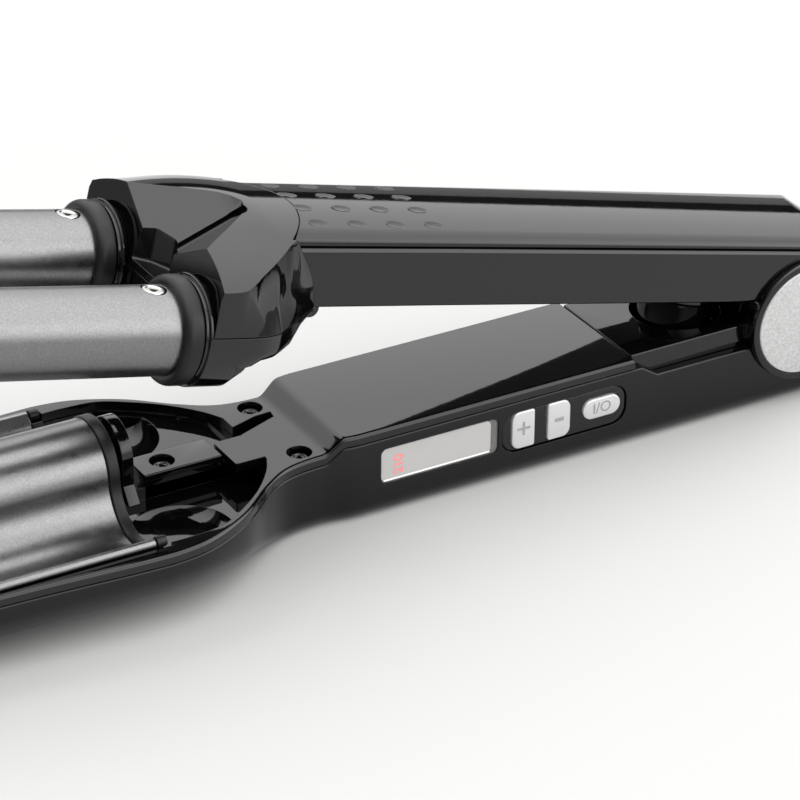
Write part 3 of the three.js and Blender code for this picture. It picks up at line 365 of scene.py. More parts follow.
# For each finish: its slot, colour, least and greatest roughness, metal, number of spots and of grains to a
# metre, depth of the relief in micrometres, change of colour, and further inputs of the shader
LOOKS = {
    "piano_black": ("gloss_black", (0.002, 0.002, 0.0022), 0.03, 0.06, 0, 120, 260, 3, 0.05, {}),
    "shell_black": ("gloss_black", (0.002, 0.002, 0.0022), 0.03, 0.06, 0, 120, 260, 3, 0.05,
                    {"Specular_IOR_Level": 0.36}),
    # A glowing finish that paints a highlight: the light caught by the display window's lower edge
    "painted_edge_highlight": ("display", (0.7, 0.7, 0.69), 0.3, 0.4, 0, 300, 2600, 1, 0.02,
                   {"Emission_Color": (1, 0.99, 0.98, 1), "Emission_Strength": 0.8}),
    "soft_black": ("matt_black", (0.006, 0.006, 0.0062), 0.36, 0.44, 0, 300, 3200, 4, 0.1,
                   {"Specular_IOR_Level": 0.3}),
    "tip_black": ("matt_black", (0.01, 0.01, 0.0105), 0.5, 0.6, 0, 300, 4200, 20, 0.1, {}),
    "titanium_coat": ("titanium", (0.2, 0.2, 0.202), 0.27, 0.33, 1, 500, 2400, 0.8, 0.13, {}),
    "satin_silver": ("silver", (0.64, 0.64, 0.645), 0.3, 0.38, 0.5, 600, 3000, 1, 0.05, {}),
    "disc_silver": ("silver", (0.54, 0.54, 0.54), 0.34, 0.44, 0.5, 900, 1900, 4, 0.16, {}),
    "bright_steel": ("steel", (0.5, 0.49, 0.475), 0.12, 0.2, 1, 900, 4000, 3, 0.06, {}),
    "dark_steel": ("steel", (0.09, 0.09, 0.09), 0.25, 0.35, 1, 900, 4000, 3, 0.08, {}),
    "spring_steel": ("steel", (0.5, 0.5, 0.5), 0.2, 0.32, 1, 700, 3000, 4, 0.1, {}),
    "core_white": ("ceramic", (0.7, 0.66, 0.58), 0.7, 0.85, 0, 500, 3000, 30, 0.08, {}),
    "bush_brass": ("brass", (0.6, 0.42, 0.16), 0.25, 0.4, 1, 500, 2500, 5, 0.08, {}),
    "board_green": ("board", (0.02, 0.12, 0.05), 0.4, 0.55, 0, 400, 1500, 10, 0.15, {}),
    "panel_grey": ("display", (0.43, 0.425, 0.415), 0.35, 0.45, 0, 200, 2600, 2, 0.03,
                   {"Emission_Color": (1, 0.98, 0.96, 1), "Emission_Strength": 0.12}),
    "digit_red": ("display", (0.85, 0.22, 0.22), 0.4, 0.5, 0, 300, 2600, 1, 0.05,
                  {"Emission_Color": (1, 0.16, 0.15, 1), "Emission_Strength": 0.35}),
    "symbol_grey": ("silver", (0.3, 0.3, 0.3), 0.4, 0.5, 0, 300, 2600, 2, 0.1, {}),
    "clear_cover": ("lens", (0.5, 0.49, 0.48), 0.03, 0.06, 0, 120, 260, 1, 0.02, {"Alpha": 0.15}),
}
FINISHES = {name: finish(name, *row[1:-1], **row[-1]) for name, row in LOOKS.items()}


# Lower arm
TRAY_END = -118
RAMP_TOP = -121.7
RAMP_FOOT = -125.6
SEAM_X = -46.4
STEP_TOP = -44.4
STEP_FOOT = -40.2
REAR_EDGE_HEIGHT = 16.3
SWELL = 19.3
SWELL_CORNER = (26, 15.2)
HANDLE_CORNER = 4
GLAND_HEIGHT = 9
CAVITY_START = -171.8
CAVITY_END = -137.6
BOWL_X = -163.5
TRAY_FLOOR = 15.2
NEAR_FLOOR = 12.2
HEAD_DEPTH = 1.1
HEAD_ROOM = 0.75
BEND_STEPS = np.linspace(-0.8, 0.8, 9)

arm_outline = smooth_line([
    (PLATE_START - BARREL_TIP_LENGTH, 32.2), (-212, 34), (-180, 36), (-170, 36), (-162, 34.2), (-152.5, 29.2),
    (-143.5, 21.6), (-135.8, 16.9), (-126.5, 15.6), (TRAY_END, HALF_ARM), (TRAY_END + 8, HALF_ARM)])
cavity_outline = smooth_line([
    (CAVITY_START, 31.5), (-166, 31.5), (-158.5, 30.5), (-151.5, 26.2), (-145.5, 21.2), (-140.4, 15.2),
    (CAVITY_END, 10.2)])


def shell_half(x):
    if x <= TRAY_END:
        return float(arm_outline(x))
    start = SHELL_REAR - 10
    if x <= start:
        return HALF_ARM
    return HALF_ARM * math.sqrt(1 - ((x - start) / (SHELL_REAR - start + 2.4)) ** 2)


def cover_top(x):
    """Rim, ramp and deck, with the two bends eased over a millimetre each way."""
    near = [blend(RIM_TOP, DECK_HEIGHT, (x + step - RAMP_FOOT) / (RAMP_TOP - RAMP_FOOT)) for step in BEND_STEPS]
    return float(np.mean(near))


def shell_top(x):
    front = cover_top(x) - COVER_THICKNESS - FIT
    return float(blend(front, REAR_EDGE_HEIGHT, (x - STEP_TOP) / (STEP_FOOT - STEP_TOP)))


def shell_section(x, inset, top, edge=0.0):
    half = shell_half(x)
    share = (half - HALF_ARM) / SWELL
    wide, high = (float(blend(HANDLE_CORNER, corner, share)) for corner in SWELL_CORNER)
    corner = arc((half - wide, high), (wide - inset, high - inset), -90, 0, 14)
    shoulder = arc((half - inset - edge, top - edge), (edge, edge), 0, 90, 4) if edge else [(half - inset, top)]
    return both_sides([(0, inset)] + corner + shoulder + [(0, top)])


def along(x, section):
    return [(x, y, z) for y, z in section]


swell = list(np.arange(PLATE_START, -127, 1.1)) + list(np.arange(-127, -120, 0.3)) + [-119, TRAY_END]
tail = list(np.linspace(SHELL_REAR - 10, SHELL_REAR, 14))


def lower_casing():
    stations = sorted(set(swell + [RAMP_FOOT, RAMP_TOP, SEAM_X, STEP_TOP, STEP_FOOT, 0] + tail))
    outside = skinned("lower_casing", [along(x, shell_section(x, 0, shell_top(x), 0.5)) for x in stations])
    inner = [PLATE_START - 1] + [x for x in stations if x < SHELL_REAR - SHELL_WALL][1:] + [SHELL_REAR - SHELL_WALL]
    inside = skinned("hollow", [along(x, shell_section(x, SHELL_WALL, 40)) for x in inner])
    near_wall = (WALL - 1, WALL + SHELL_WALL + 1)
    cut(outside, inside,
        prism("pane", window(*DISPLAY, DISPLAY_CORNER), "y", *near_wall),
        prism("pane", window(*PANEL, PANEL_CORNER), "y", *near_wall),
        rod("bore", "y", DRUM_RADIUS + FIT, -HALF_ARM - 1, HALF_ARM + 1, (0, HINGE_HEIGHT)),
        rod("bore", "x", 5, SHELL_REAR - 4, SHELL_REAR + 1, (0, GLAND_HEIGHT), 48))
    return outside


def plan_shape(half_width, start, end, step=1.0, grow=0.0):
    xs = np.linspace(start, end, int((end - start) / step) + 1)
    edge = [(x, float(half_width(x)) + grow) for x in xs]
    return [(x, -y) for x, y in edge] + edge[::-1]


def deck():
    """Deck, ramp and tray rim in one moulding, with a rounded outer edge."""
    r = 1.0
    lip = [(SEAM_X - 0.4 + 0.4 * math.sin(a), 0.4 * (1 - math.cos(a))) for a in np.radians([0, 22, 45, 68, 90])]
    stations = [(x, 0.0) for x in sorted(set(swell + [RAMP_FOOT, RAMP_TOP]))] + lip
    rings = []
    for x, drop in stations:
        half, top = shell_half(x), cover_top(x) - drop
        base = cover_top(x) - COVER_THICKNESS
        rings.append(along(x, both_sides([(0, base), (half, base)] + arc((half - r, top - r), (r, r), 0, 90, 8)
                                         + [(0, top)])))
    piece = skinned("deck", rings)
    hollow = prism("hollow", plan_shape(cavity_outline, CAVITY_START, CAVITY_END, 0.6), "z", 0, 40)
    cut(hollow, prism("tongue", rounded_box(-144.6, CAVITY_END + 1, -9.3, 1.4, 0.4, 3), "z", -1, 41))
    slot = [(-142, 1.4), (-138, 1.4), (-127.4, 5.4), (-127, 7.8), (-131, 7.6), (-142, 4.2)]
    cut(piece, prism("bay", [(PLATE_START - 1, -32.8), (CAVITY_START + 0.1, -32.8), (CAVITY_START + 0.1, 32.8),
                             (PLATE_START - 1, 32.8)], "z", 0, 40), hollow, prism("slot", slot, "z", 0, 40))
    for _, side in SIDES:
        cut(piece, rod("bore", "z", SCREW_RADIUS + HEAD_ROOM, 0, 40, (NECK_SCREW[0], side * NECK_SCREW[1]), 48))
    return piece


def tray():
    """Floor behind the plate with a bowl for each collar, and the wall up to the rim."""
    rim = RIM_TOP - COVER_THICKNESS - FIT

    def grown(x):
        return min(float(cavity_outline(x)) + 1.6, shell_half(x) - SHELL_WALL - FIT)

    piece = prism("tray", plan_shape(grown, CAVITY_START + 0.4, CAVITY_END, 0.8), "z", 0, rim)
    stations = [x for x in swell if -176 < x < -130]
    room = skinned("room", [along(x, shell_section(x, SHELL_WALL + FIT, 30)) for x in stations])
    combined(piece, room, "INTERSECT")
    plan = plan_shape(cavity_outline, CAVITY_START - 1, CAVITY_END - 1.8, 0.8)
    near_side = [(-200, -40), (-100, -40), (-100, -PLINTH_HALF), (-200, -PLINTH_HALF)]
    cut(piece, prism("hollow", plan, "z", TRAY_FLOOR, 40))
    cut(piece, combined(prism("near", plan, "z", NEAR_FLOOR, 40), prism("side", near_side, "z", 0, 50), "INTERSECT"))
    hollow = [(0, 9), (4, 9), (8, 9.7), (10.8, 11.2), (12.6, 13.2), (13.2, 14.6), (13.6, TRAY_FLOOR + 0.1), (13.6, 40),
              (0, 40)]
    inner = plan_shape(lambda x: float(cavity_outline(x)) - 1.4, CAVITY_START - 1, CAVITY_END, 0.8)
    for _, side in SIDES:
        bowl = turned("bowl", hollow, "z", (BOWL_X, side * BARREL_Y), 128)
        cut(piece, combined(bowl, prism("reach", inner, "z", 0, 45), "INTERSECT"))
    return cut(piece, rod("bore", "z", 2.6, 8, 40, (-139, -6.4), 48),
               rod("bore", "z", SCREW_RADIUS * SHANK_SHARE + SLIDE, 5, 40, (PLINTH_SCREW_X, 0), 32))


def plinth():
    """Raised block in the middle of the tray, with a lip towards the tongue."""
    cap = prism("plinth", rounded_box(PLINTH_FRONT, -145.4, -4.3, 4.3, 0.3, 3), "z", RIM_TOP - 1.8, RIM_TOP)
    rounded(cap, 0.25)
    stem = rounded_box(PLINTH_FRONT, -146, -PLINTH_HALF, PLINTH_HALF, 0.3, 3)
    combined(cap, prism("stem", stem, "z", NEAR_FLOOR, RIM_TOP - 1), "UNION")
    under_lip = rounded_box(-147, -138.4, -PLINTH_HALF, PLINTH_HALF, 0.3, 3)
    combined(cap, prism("under_lip", under_lip, "z", NEAR_FLOOR, RIM_TOP - COVER_THICKNESS - FIT), "UNION")
    return cut(cap, rod("bore", "z", SCREW_RADIUS + HEAD_ROOM, RIM_TOP - 2.6, 40, (PLINTH_SCREW_X, 0), 48),
               rod("bore", "z", SCREW_RADIUS * SHANK_SHARE + SLIDE, 0, 40, (PLINTH_SCREW_X, 0), 32))


def screw(name, x, y, top, head, length, radius=SCREW_RADIUS, turn=0):
    """A pan-headed screw with a dished top and a three-cornered recess."""
    shank = radius * SHANK_SHARE
    dish = [(0, top - 0.3), (radius - 0.95, top - 0.3), (radius - 0.75, top), (radius - 0.5, top)]
    side = [(radius - 0.15, top - 0.12), (radius, top - 0.4), (radius, top - head)]
    stem = [(shank, top - head), (shank, top - length), (0, top - length)]
    piece = turned(name, dish + side + stem, "z", (x, y), 64)
    corners = arc((x, y), (radius * 0.56,) * 2, 90 + turn, 330 + turn, 2)
    recess = prism("recess", corners, "z", top - head - 0.6, top + 1)
    return cut(piece, rounded(recess, 0.12, 2))


handed_over(lower_casing(), "lower_shell", "shell_black")
handed_over(deck(), "deck_cover", "piano_black")
handed_over(tray(), "tray_insert", "piano_black")
handed_over(plinth(), "wire_plinth", "piano_black")
head_top = RIM_TOP - HEAD_DEPTH
handed_over(screw("tray_screw", PLINTH_SCREW_X, 0, head_top, 1.4, 8.9), "plinth_screw", "dark_steel")
for name, side in SIDES:
    piece = screw(f"deck_screw_{name}", NECK_SCREW[0], side * NECK_SCREW[1], head_top, 1.4, 5.4, turn=25 * side)
    handed_over(piece, f"neck_screw_{name}", "dark_steel")

# Wave plate
REST_HEIGHT = HINGE_HEIGHT + BARREL_ABOVE_HINGE
VALLEY_RADIUS = BARREL_RADIUS + NEST_GAP
HUMP_REACH = math.hypot(BARREL_Y, REST_HEIGHT - HUMP_CENTRE_HEIGHT)
HUMP_RADIUS = HUMP_REACH - VALLEY_RADIUS
TANGENT = math.degrees(math.asin((REST_HEIGHT - HUMP_CENTRE_HEIGHT) / HUMP_REACH))


def wave_line(offset):
    valley = arc((BARREL_Y, REST_HEIGHT), (VALLEY_RADIUS + offset,) * 2, 180 + TANGENT, 328, 40)
    hump = arc((0, HUMP_CENTRE_HEIGHT), (HUMP_RADIUS - offset,) * 2, 90, TANGENT, 26)
    return hump + valley[1:]


def wave_plate():
    rail = arc((RAIL_Y, RAIL_HEIGHT), (RAIL_RADIUS,) * 2, 150, -90, 20)
    under = [(y, z) for y, z in wave_line(PLATE_WALL) if y > BARREL_Y and z < RAIL_HEIGHT - RAIL_RADIUS - 0.4]
    base = REST_HEIGHT - VALLEY_RADIUS - PLATE_WALL
    half = wave_line(0) + rail + under[::-1] + [(BARREL_Y, base)]
    outline = half + [(-y, z) for y, z in half[:0:-1]]
    piece = prism("heated_plate", outline, "x", PLATE_START + FIT, PLATE_END)
    return rounded(piece, 0.3, 3, 60)


def gasket():
    top, under = wave_line(-0.35), wave_line(2.2)
    both = [[(-y, z) for y, z in half[:0:-1]] + half for half in (top, under)]
    piece = prism("plate_gasket", both[0] + both[1][::-1], "x", PLATE_END, PLATE_END + GASKET_LENGTH)
    return rounded(piece, 0.3, 3, 60)


def bulkhead():
    arch = arc((0, 24.6), (7.4, 7.4), 0, 180, 40)
    outline = [(10, TRAY_FLOOR), (10, 15.5), (7.4, 19)] + arch + [(-7.4, 19), (-10, 15.5), (-10, TRAY_FLOOR)]
    piece = prism("arch", outline, "x", CAVITY_START + 0.9, CAVITY_START + 3.6)
    rounded(piece, 0.7, 4)
    for z in (15, 22.4):
        hole = prism("hole", rounded_box(-3.6, 3.6, z, z + 4.6, 0.5, 4), "x", CAVITY_START, CAVITY_START + 5)
        cut(piece, hole)
    return piece


handed_over(wave_plate(), "wave_plate", "titanium_coat")
handed_over(gasket(), "plate_gasket_rear", "soft_black")
handed_over(bulkhead(), "plate_bulkhead", "piano_black")
for name, side in SIDES:
    r, start, end = RAIL_RADIUS + 0.15, PLATE_END + FIT, COLLAR_FRONT - FIT
    profile = [(0, start), (r, start), (r, end - 0.5), (r - 0.15, end - 0.15), (r - 0.5, end), (0, end)]
    piece = turned(f"rail_end_{name}", profile, "x", (side * (RAIL_Y + RAIL_RADIUS - r), RAIL_HEIGHT), 40)
    handed_over(piece, f"rail_cap_{name}", "soft_black")


def lower_tip():
    """Cool tip: it carries the plate's section on and ends in rounded corners."""
    start, end = PLATE_START - BARREL_TIP_LENGTH, PLATE_START - FIT
    edge = shell_half(start)
    outline = both_sides(wave_line(0) + [(edge, RIM_TOP), (edge, -1), (0, -1)])
    piece = skinned("cool_tip_lower", [along(x, shell_section(x, 0, 40)) for x in np.linspace(start, end, 12)])
    combined(piece, prism("section", outline, "x", start - 1, end + 1), "INTERSECT")
    r = TIP_CORNER
    nose = arc((start + r, -edge + r), (r, r), 270, 180, 18) + arc((start + r, edge - r), (r, r), 180, 90, 18)
    nose += [(end + 1, edge + 4), (end + 1, -edge - 4)]
    combined(piece, prism("nose", nose, "z", -2, 60), "INTERSECT")
    return piece


handed_over(lower_tip(), "lower_tip", "tip_black")


# Hinge and rear deck
def rear_deck():
    side = [(SEAM_X + FIT, 2.5), (19, 2.5), (19, 18), (8, 18), (-12, DECK_HEIGHT), (SEAM_X + FIT, DECK_HEIGHT)]
    piece = prism("rear_deck", side, "y", -14.4, 14.4)
    rounded(piece, 0.4, 4, 20)
    for _, sign in SIDES:
        ends = sorted((sign * (DRUM_INNER_HALF + SLIDE), sign * HALF_ARM))
        combined(piece, rod("drum", "y", DRUM_RADIUS, *ends, (0, HINGE_HEIGHT), 128), "UNION")
    half = DRUM_INNER_HALF + SLIDE
    return cut(piece, rod("bore", "y", DRUM_RADIUS + SLIDE, -half, half, (0, HINGE_HEIGHT), 128),
               prism("gap", [(-DRUM_RADIUS, HINGE_HEIGHT), (DRUM_RADIUS, HINGE_HEIGHT), (DRUM_RADIUS, 60),
                             (-DRUM_RADIUS, 60)], "y", -half, half),
               rod("well", "z", WELL_RADIUS, WELL_FLOOR, 60, (WELL_X, 0)),
               rod("bore", "y", PIN_BORE, -HALF_ARM - 1, HALF_ARM + 1, (0, HINGE_HEIGHT), 48))


def on_hinge(name, side, profile):
    """Spins a profile of (radius, distance from the arm's side) round the hinge."""
    return turned(name, [(r, side * HALF_ARM + side * a) for r, a in profile], "y", (0, HINGE_HEIGHT), 160)


def cap_ring(name, side):
    at = [(DISC_RADIUS + 0.15, 0.9), (DISC_RADIUS + 0.15, 1.9), (DISC_RADIUS + 0.3, 2.1), (CAP_RING_RADIUS - 0.7, 1.8),
          (CAP_RING_RADIUS - 0.2, 1.6), (CAP_RING_RADIUS, 1.1), (CAP_RING_RADIUS, FIT), (0, FIT), (0, 0.9)]
    return on_hinge(name, side, [(r, min(a, 1.8)) for r, a in at])


def hinge_disc(name, side):
    dome = [(DISC_RADIUS * s, 2.1 - 0.25 * s**2) for s in (0, 0.2, 0.4, 0.6, 0.8, 0.93)]
    rim = [(DISC_RADIUS - 0.25, 1.85), (DISC_RADIUS, 1.6), (DISC_RADIUS, 0.95), (0, 0.95)]
    return on_hinge(name, side, dome + rim)


handed_over(rear_deck(), "hinge_frame", "piano_black")
for name, side in SIDES:
    handed_over(cap_ring(f"hinge_ring_{name}", side), f"cap_ring_{name}", "piano_black")
    handed_over(hinge_disc(f"hinge_face_{name}", side), f"hinge_disc_{name}", "disc_silver")


def spring_coil():
    """A round wire swept along the spring's helix."""
    steps, sides = SPRING_TURNS * 40, 14
    bottom = WELL_FLOOR + SPRING_WIRE / 2 + FIT
    top = HINGE_HEIGHT + SPRING_TOP - SPRING_WIRE / 2
    rise = (top - bottom) / (SPRING_TURNS * 2 * math.pi)
    rings = []
    for i in range(steps + 1):
        a = i / steps * SPRING_TURNS * 2 * math.pi
        out = Vector((math.cos(a), math.sin(a), 0))
        ahead = Vector((-SPRING_RADIUS * math.sin(a), SPRING_RADIUS * math.cos(a), rise)).normalized()
        up = ahead.cross(out)
        centre = Vector((WELL_X, 0, bottom + rise * a)) + out * SPRING_RADIUS
        rings.append([centre + (out * u + up * v) for u, v in arc((0, 0), (SPRING_WIRE / 2,) * 2, 0, 360, sides)[:-1]])
    return skinned("well_spring", rings)


handed_over(spring_coil(), "hinge_spring", "spring_steel", 60)


# Display, key panel and keys
DISPLAY_DEPTH = SHELL_WALL - 0.1


def display_lens():
    outline = window(*DISPLAY, DISPLAY_CORNER, 0.2)
    return rounded(prism("display_window", outline, "y", WALL + 0.05, WALL + 0.4), 0.1, 2, 60)


def lit_area(name, inset, front, back):
    """A slab behind the display's window; the end by the keys stays dark."""
    outline = window(DISPLAY_START + 0.35 + inset, DISPLAY_LENGTH - 2.1 - 2 * inset, DISPLAY_BOTTOM + 0.35 + inset,
                     DISPLAY_HEIGHT - 0.7 - 2 * inset, 1.3)
    return prism(name, outline, "y", WALL + front, WALL + back)


def display_frame():
    """A dark border behind the window, round the lit area; it is wider at the end by the keys."""
    border = prism("display_frame", window(*DISPLAY, DISPLAY_CORNER, 0.2), "y", WALL + 0.45, WALL + DISPLAY_DEPTH)
    return cut(border, lit_area("lit", -0.02, -1, 3))


def painted_lens_highlight():
    """A thin glowing line along the lower edge of the lit area: a painted highlight, standing for the light that the
    window's edge catches.
    """
    line = rounded_box(DISPLAY_START + 0.9, DISPLAY_START + DISPLAY_LENGTH - 2, DISPLAY_BOTTOM + 0.45,
                       DISPLAY_BOTTOM + 0.8, 0.1, 2)
    return prism("painted_lens_highlight", line, "y", WALL + 0.41, WALL + 0.44)


# Keys: name, start, length, bottom, height, and the radius of the corners on the left and on the right
KEYS = (("plus", -79, 5.9, 7.2, 9.2, 2.0, 0.6), ("minus", -69.6, 5.9, 7.2, 9.2, 0.6, 2.0),
        ("power", -60.2, 9.9, 9.5, 4.9, 2.4, 2.4))


def key_outline(key, grow):
    _, start, length, bottom, height, left, right = key
    return rounded_box(start - grow, start + length + grow, bottom - grow, bottom + height + grow, right + grow,
                       left=left + grow)


def key_panel():
    piece = prism("key_surround", window(*PANEL, PANEL_CORNER, 0.25), "y", WALL + 0.3, WALL + SHELL_WALL)
    rounded(piece, 0.2, 3, 60)
    for key in KEYS:
        cut(piece, prism("opening", key_outline(key, 0.25), "y", WALL - 1, WALL + SHELL_WALL + 1))
    return piece


def key_cap(key):
    piece = prism(f"{key[0]}_cap", key_outline(key, 0), "y", WALL - KEY_STANDS_OUT, WALL + 3.3)
    rounded(piece, 0.28, 4, 60)
    return combined(piece, prism("flange", key_outline(key, 0.8), "y", WALL + 2.3, WALL + 3.3), "UNION")


handed_over(display_lens(), "display_lens", "clear_cover")
handed_over(display_frame(), None, "piano_black")
handed_over(lit_area("display_face", 0.02, 0.45, DISPLAY_DEPTH), None, "panel_grey")
handed_over(key_panel(), "key_panel", "piano_black")
for key in KEYS:
    handed_over(key_cap(key), f"{key[0]}_key", "satin_silver", body=f"{key[0]}_key")


def cord_gland():
    inner, end = SHELL_REAR - SHELL_WALL, SHELL_REAR + 4.4
    flange = [(2.2, inner - 2.4), (6.4, inner - 2.4), (6.4, inner - FIT), (4.6, inner - FIT), (4.6, SHELL_REAR + FIT)]
    collar_side = [(5.7, SHELL_REAR + FIT), (6, SHELL_REAR + 0.6), (6, SHELL_REAR + 2.7), (5.8, SHELL_REAR + 3.2)]
    nose = [(5.1, SHELL_REAR + 4.2), (4.7, end), (2.5, end), (2.2, SHELL_REAR + 4.1)]
    return turned("cord_swivel", flange + collar_side + nose, "x", (0, GLAND_HEIGHT), 64)


handed_over(cord_gland(), "cord_gland", "soft_black", body="cord_gland")


# Upper arm, drawn closed with heights from the hinge, and opened when it is handed over
# Heights at the hinge, and how much they grow with each millimetre towards the yoke
CROWN, CROWN_SLOPE = 19.75, 0.0246
PARTING, PARTING_SLOPE = 16, 0.0201
UNDERSIDE, UNDERSIDE_SLOPE = 3.66, 0.0124
ARCH_RADIUS = 75
FALL_START, FALL_LENGTH, FALL_FOOT, FALL_HEIGHT = 4, 15, 4, 15.7
CORNER_START, CORNER_RADIUS = 11, 8


def parting_height(x):
    return PARTING - PARTING_SLOPE * x


def underside_height(x):
    return UNDERSIDE - UNDERSIDE_SLOPE * x


def arched(x, y):
    return CROWN - CROWN_SLOPE * x - y**2 / (2 * ARCH_RADIUS)


def rear_fall(x):
    """Height of the rounded rear end of the arm; nothing falls in front of it."""
    if x <= FALL_START:
        return 60.0
    return FALL_FOOT + FALL_HEIGHT * math.sqrt(max(0.0, 1 - ((x - FALL_START) / FALL_LENGTH) ** 2))


def rear_half(x, full):
    """Half width of the arm, with its two rear corners rounded in plan."""
    past = max(x - CORNER_START, 0)
    return full - CORNER_RADIUS + math.sqrt(max(0.0, CORNER_RADIUS**2 - past**2))


def seam_shift(x, y, fade_end=-60.0):
    """How far the curved seam pulls a point of the arm forwards."""
    share = float(np.clip((fade_end - x) / (fade_end - YOKE_SEAM), 0, 1))
    return x - y**2 / (2 * YOKE_SEAM_RADIUS) * share


GRIP_X = [-133.4 + 9.8 * i for i in range(4)]
GRIP_Y = (-10.6, -3.5, 3.5, 10.6)
GRIP_DEPTH = 0.34
GRIP_HALF_LENGTH = 2.3
GRIP_HALF_WIDTH = 1.5
GRIP_END = -96.5
CROWN_REAR = 13.9


def grip_depth(x, y):
    for gx in GRIP_X:
        for gy in GRIP_Y:
            r = ((x - gx) / GRIP_HALF_LENGTH) ** 2 + ((y - gy) / GRIP_HALF_WIDTH) ** 2
            if r < 1:
                return GRIP_DEPTH * (1 - r**2)
    return 0.0


def crown():
    """Upper half of the upper arm, with sixteen dished ovals."""
    stations = list(np.arange(YOKE_SEAM + FIT, GRIP_END, 0.25)) + list(np.linspace(GRIP_END, FALL_START, 24))
    stations += list(np.linspace(FALL_START, CROWN_REAR, 14))[1:]
    rings = []
    for x in stations:
        edge = rear_half(x, HALF_ARM - LEDGE_WIDTH)
        base = min(parting_height(x) + CROWN_LIFT, rear_fall(x) - 0.1)
        fall = min(float(arched(x, edge)), rear_fall(x)) - base - 0.2
        across = [edge - SHOULDER + SHOULDER * math.cos(a) for a in np.radians(range(0, 90, 6))]
        top = []
        for y in across + list(np.linspace(edge - SHOULDER, 0, 66)):
            sx = seam_shift(x, y)
            bend = max(y - edge + SHOULDER, 0) / SHOULDER
            z = min(float(arched(sx, y)), rear_fall(x)) - max(fall, 0) * (1 - math.sqrt(max(0.0, 1 - bend**2)))
            top.append((sx, y, z - grip_depth(sx, y)))
        rings.append(both_sides([(x, 0.0, base), (seam_shift(x, edge), edge, base)] + top))
    return skinned("crown", rings)


def arm_body():
    """Lower half of the upper arm, with the knuckle that turns on the pin."""
    stations = [YOKE_SEAM + FIT] + list(np.linspace(-100, FALL_START, 12))
    stations += list(np.linspace(FALL_START, CORNER_START, 8))[1:]
    stations += [CORNER_START + CORNER_RADIUS * math.sin(a) for a in np.radians(np.linspace(6, 90, 14))]
    rings = []
    for x in stations:
        edge = rear_half(x, HALF_ARM)
        base = underside_height(x)
        top = min(parting_height(x) + BEAD_LIFT, rear_fall(x) - 0.15)
        core = max(min(parting_height(x) + CORE_LIFT, rear_fall(x) - 0.12), top)
        low_round = min(1.2, 0.6 * (top - base))
        corner = arc((edge - low_round, base + low_round), (low_round, low_round), -90, 0, 12)
        r = float(np.clip(top - base - 1.3, 0.05, LEDGE_ROUND))
        bead = arc((edge - r, top - r), (r, r), 0, 90, 10) + [(edge - LEDGE_WIDTH - LEDGE_INSET, top)]
        inner = edge - LEDGE_WIDTH - CORE_INSET
        ys = list(np.linspace(inner, 0, 14))[1:]
        half = [(y, base) for y in ys[::-1]] + corner + bead + [(inner, core)] + [(y, core) for y in ys]
        rings.append(both_sides([(seam_shift(x, y, -100.0) if x < -100 else x, y, z) for y, z in half]))
    piece = skinned("arm", rings)
    beside = rod("beside", "y", DRUM_RADIUS + SLIDE, -40, 40, (0, 0), 128)
    cut(beside, rod("middle", "y", 40, -DRUM_INNER_HALF, DRUM_INNER_HALF, (0, 0), 128))
    cut(piece, beside)
    combined(piece, rod("knuckle", "y", DRUM_RADIUS, -DRUM_INNER_HALF, DRUM_INNER_HALF, (0, 0), 128), "UNION")
    return cut(piece, rod("bore", "y", BUSH_BORE, -40, 40, (0, 0), 48), spring_pocket(SPRING_TOP + 0.6))


def spring_pocket(top):
    """Room for the spring's upper turns when the arm is closed."""
    return rod("pocket", "z", SPRING_RADIUS + 1.2, -5, top, (WELL_X - 0.3, 0), 64)


def spring_boss():
    x = WELL_X - 0.3
    top = underside_height(x) - FIT
    r, bottom = BOSS_RADIUS, BOSS_BOTTOM
    rim = [(7.6, top - 2), (7.6, bottom + 0.15), (7.75, bottom), (8.15, bottom), (8.35, bottom + 0.2)]
    step = [(8.35, -0.6), (8.45, -0.3), (r - 0.15, -0.1), (r, 0.15)]
    head = [(r, top - 0.7), (r - 0.3, top - 0.4), (0, top - 0.4), (0, top - 2)]
    return cut(turned("spring_boss", rim + step + head, "z", (x, 0), 128), spring_pocket(top + 1))


handed_over(crown(), "arm_crown", "piano_black", 40, body="upper_arm")
handed_over(arm_body(), "arm_body", "piano_black", 11, body="upper_arm")
handed_over(spring_boss(), "spring_cup", "piano_black", body="upper_arm")

# Yoke: the housing that spreads from the arm to the two sockets
top_edge = smooth_line([
    (YOKE_FRONT, 30.6), (-160.4, 30.6), (-158, 29.6), (-155.3, 27.7), (-152.8, 26), (-149.9, 23.9), (-146.8, 21.3),
    (-143.2, 18.1), (-139, 15.6), (YOKE_REAR, 14.6)])
yoke_outline = smooth_line([
    (YOKE_FRONT, 30.9), (-155, 30.9), (-150, 29.6), (-147, 27.6), (-140.5, 22.1), (YOKE_REAR, 16.9)])


def yoke_top(x, y):
    """The arm's arch at the neck, which spreads into a ridge on each side at the front."""
    lobes = LOBE_TOP + 1.4 * (1 - (abs(y) / LOBE_RIDGE) ** 3)
    share = float(np.clip((VALLEY_START - x) / VALLEY_LENGTH, 0, 1))
    return float(blend(arched(x, y), lobes, share * share * (3 - 2 * share)))


def flank_hollow(x, share):
    """A hollow behind the flat front panel, which starts on a slanting line."""
    past = float(np.clip((x - FLUTE_FOOT + FLUTE_LEAN * share) / FLUTE_LENGTH, 0, 1))
    return FLUTE_DEPTH * math.sin(math.pi * past) * (1 - past) * math.sin(math.pi * share)


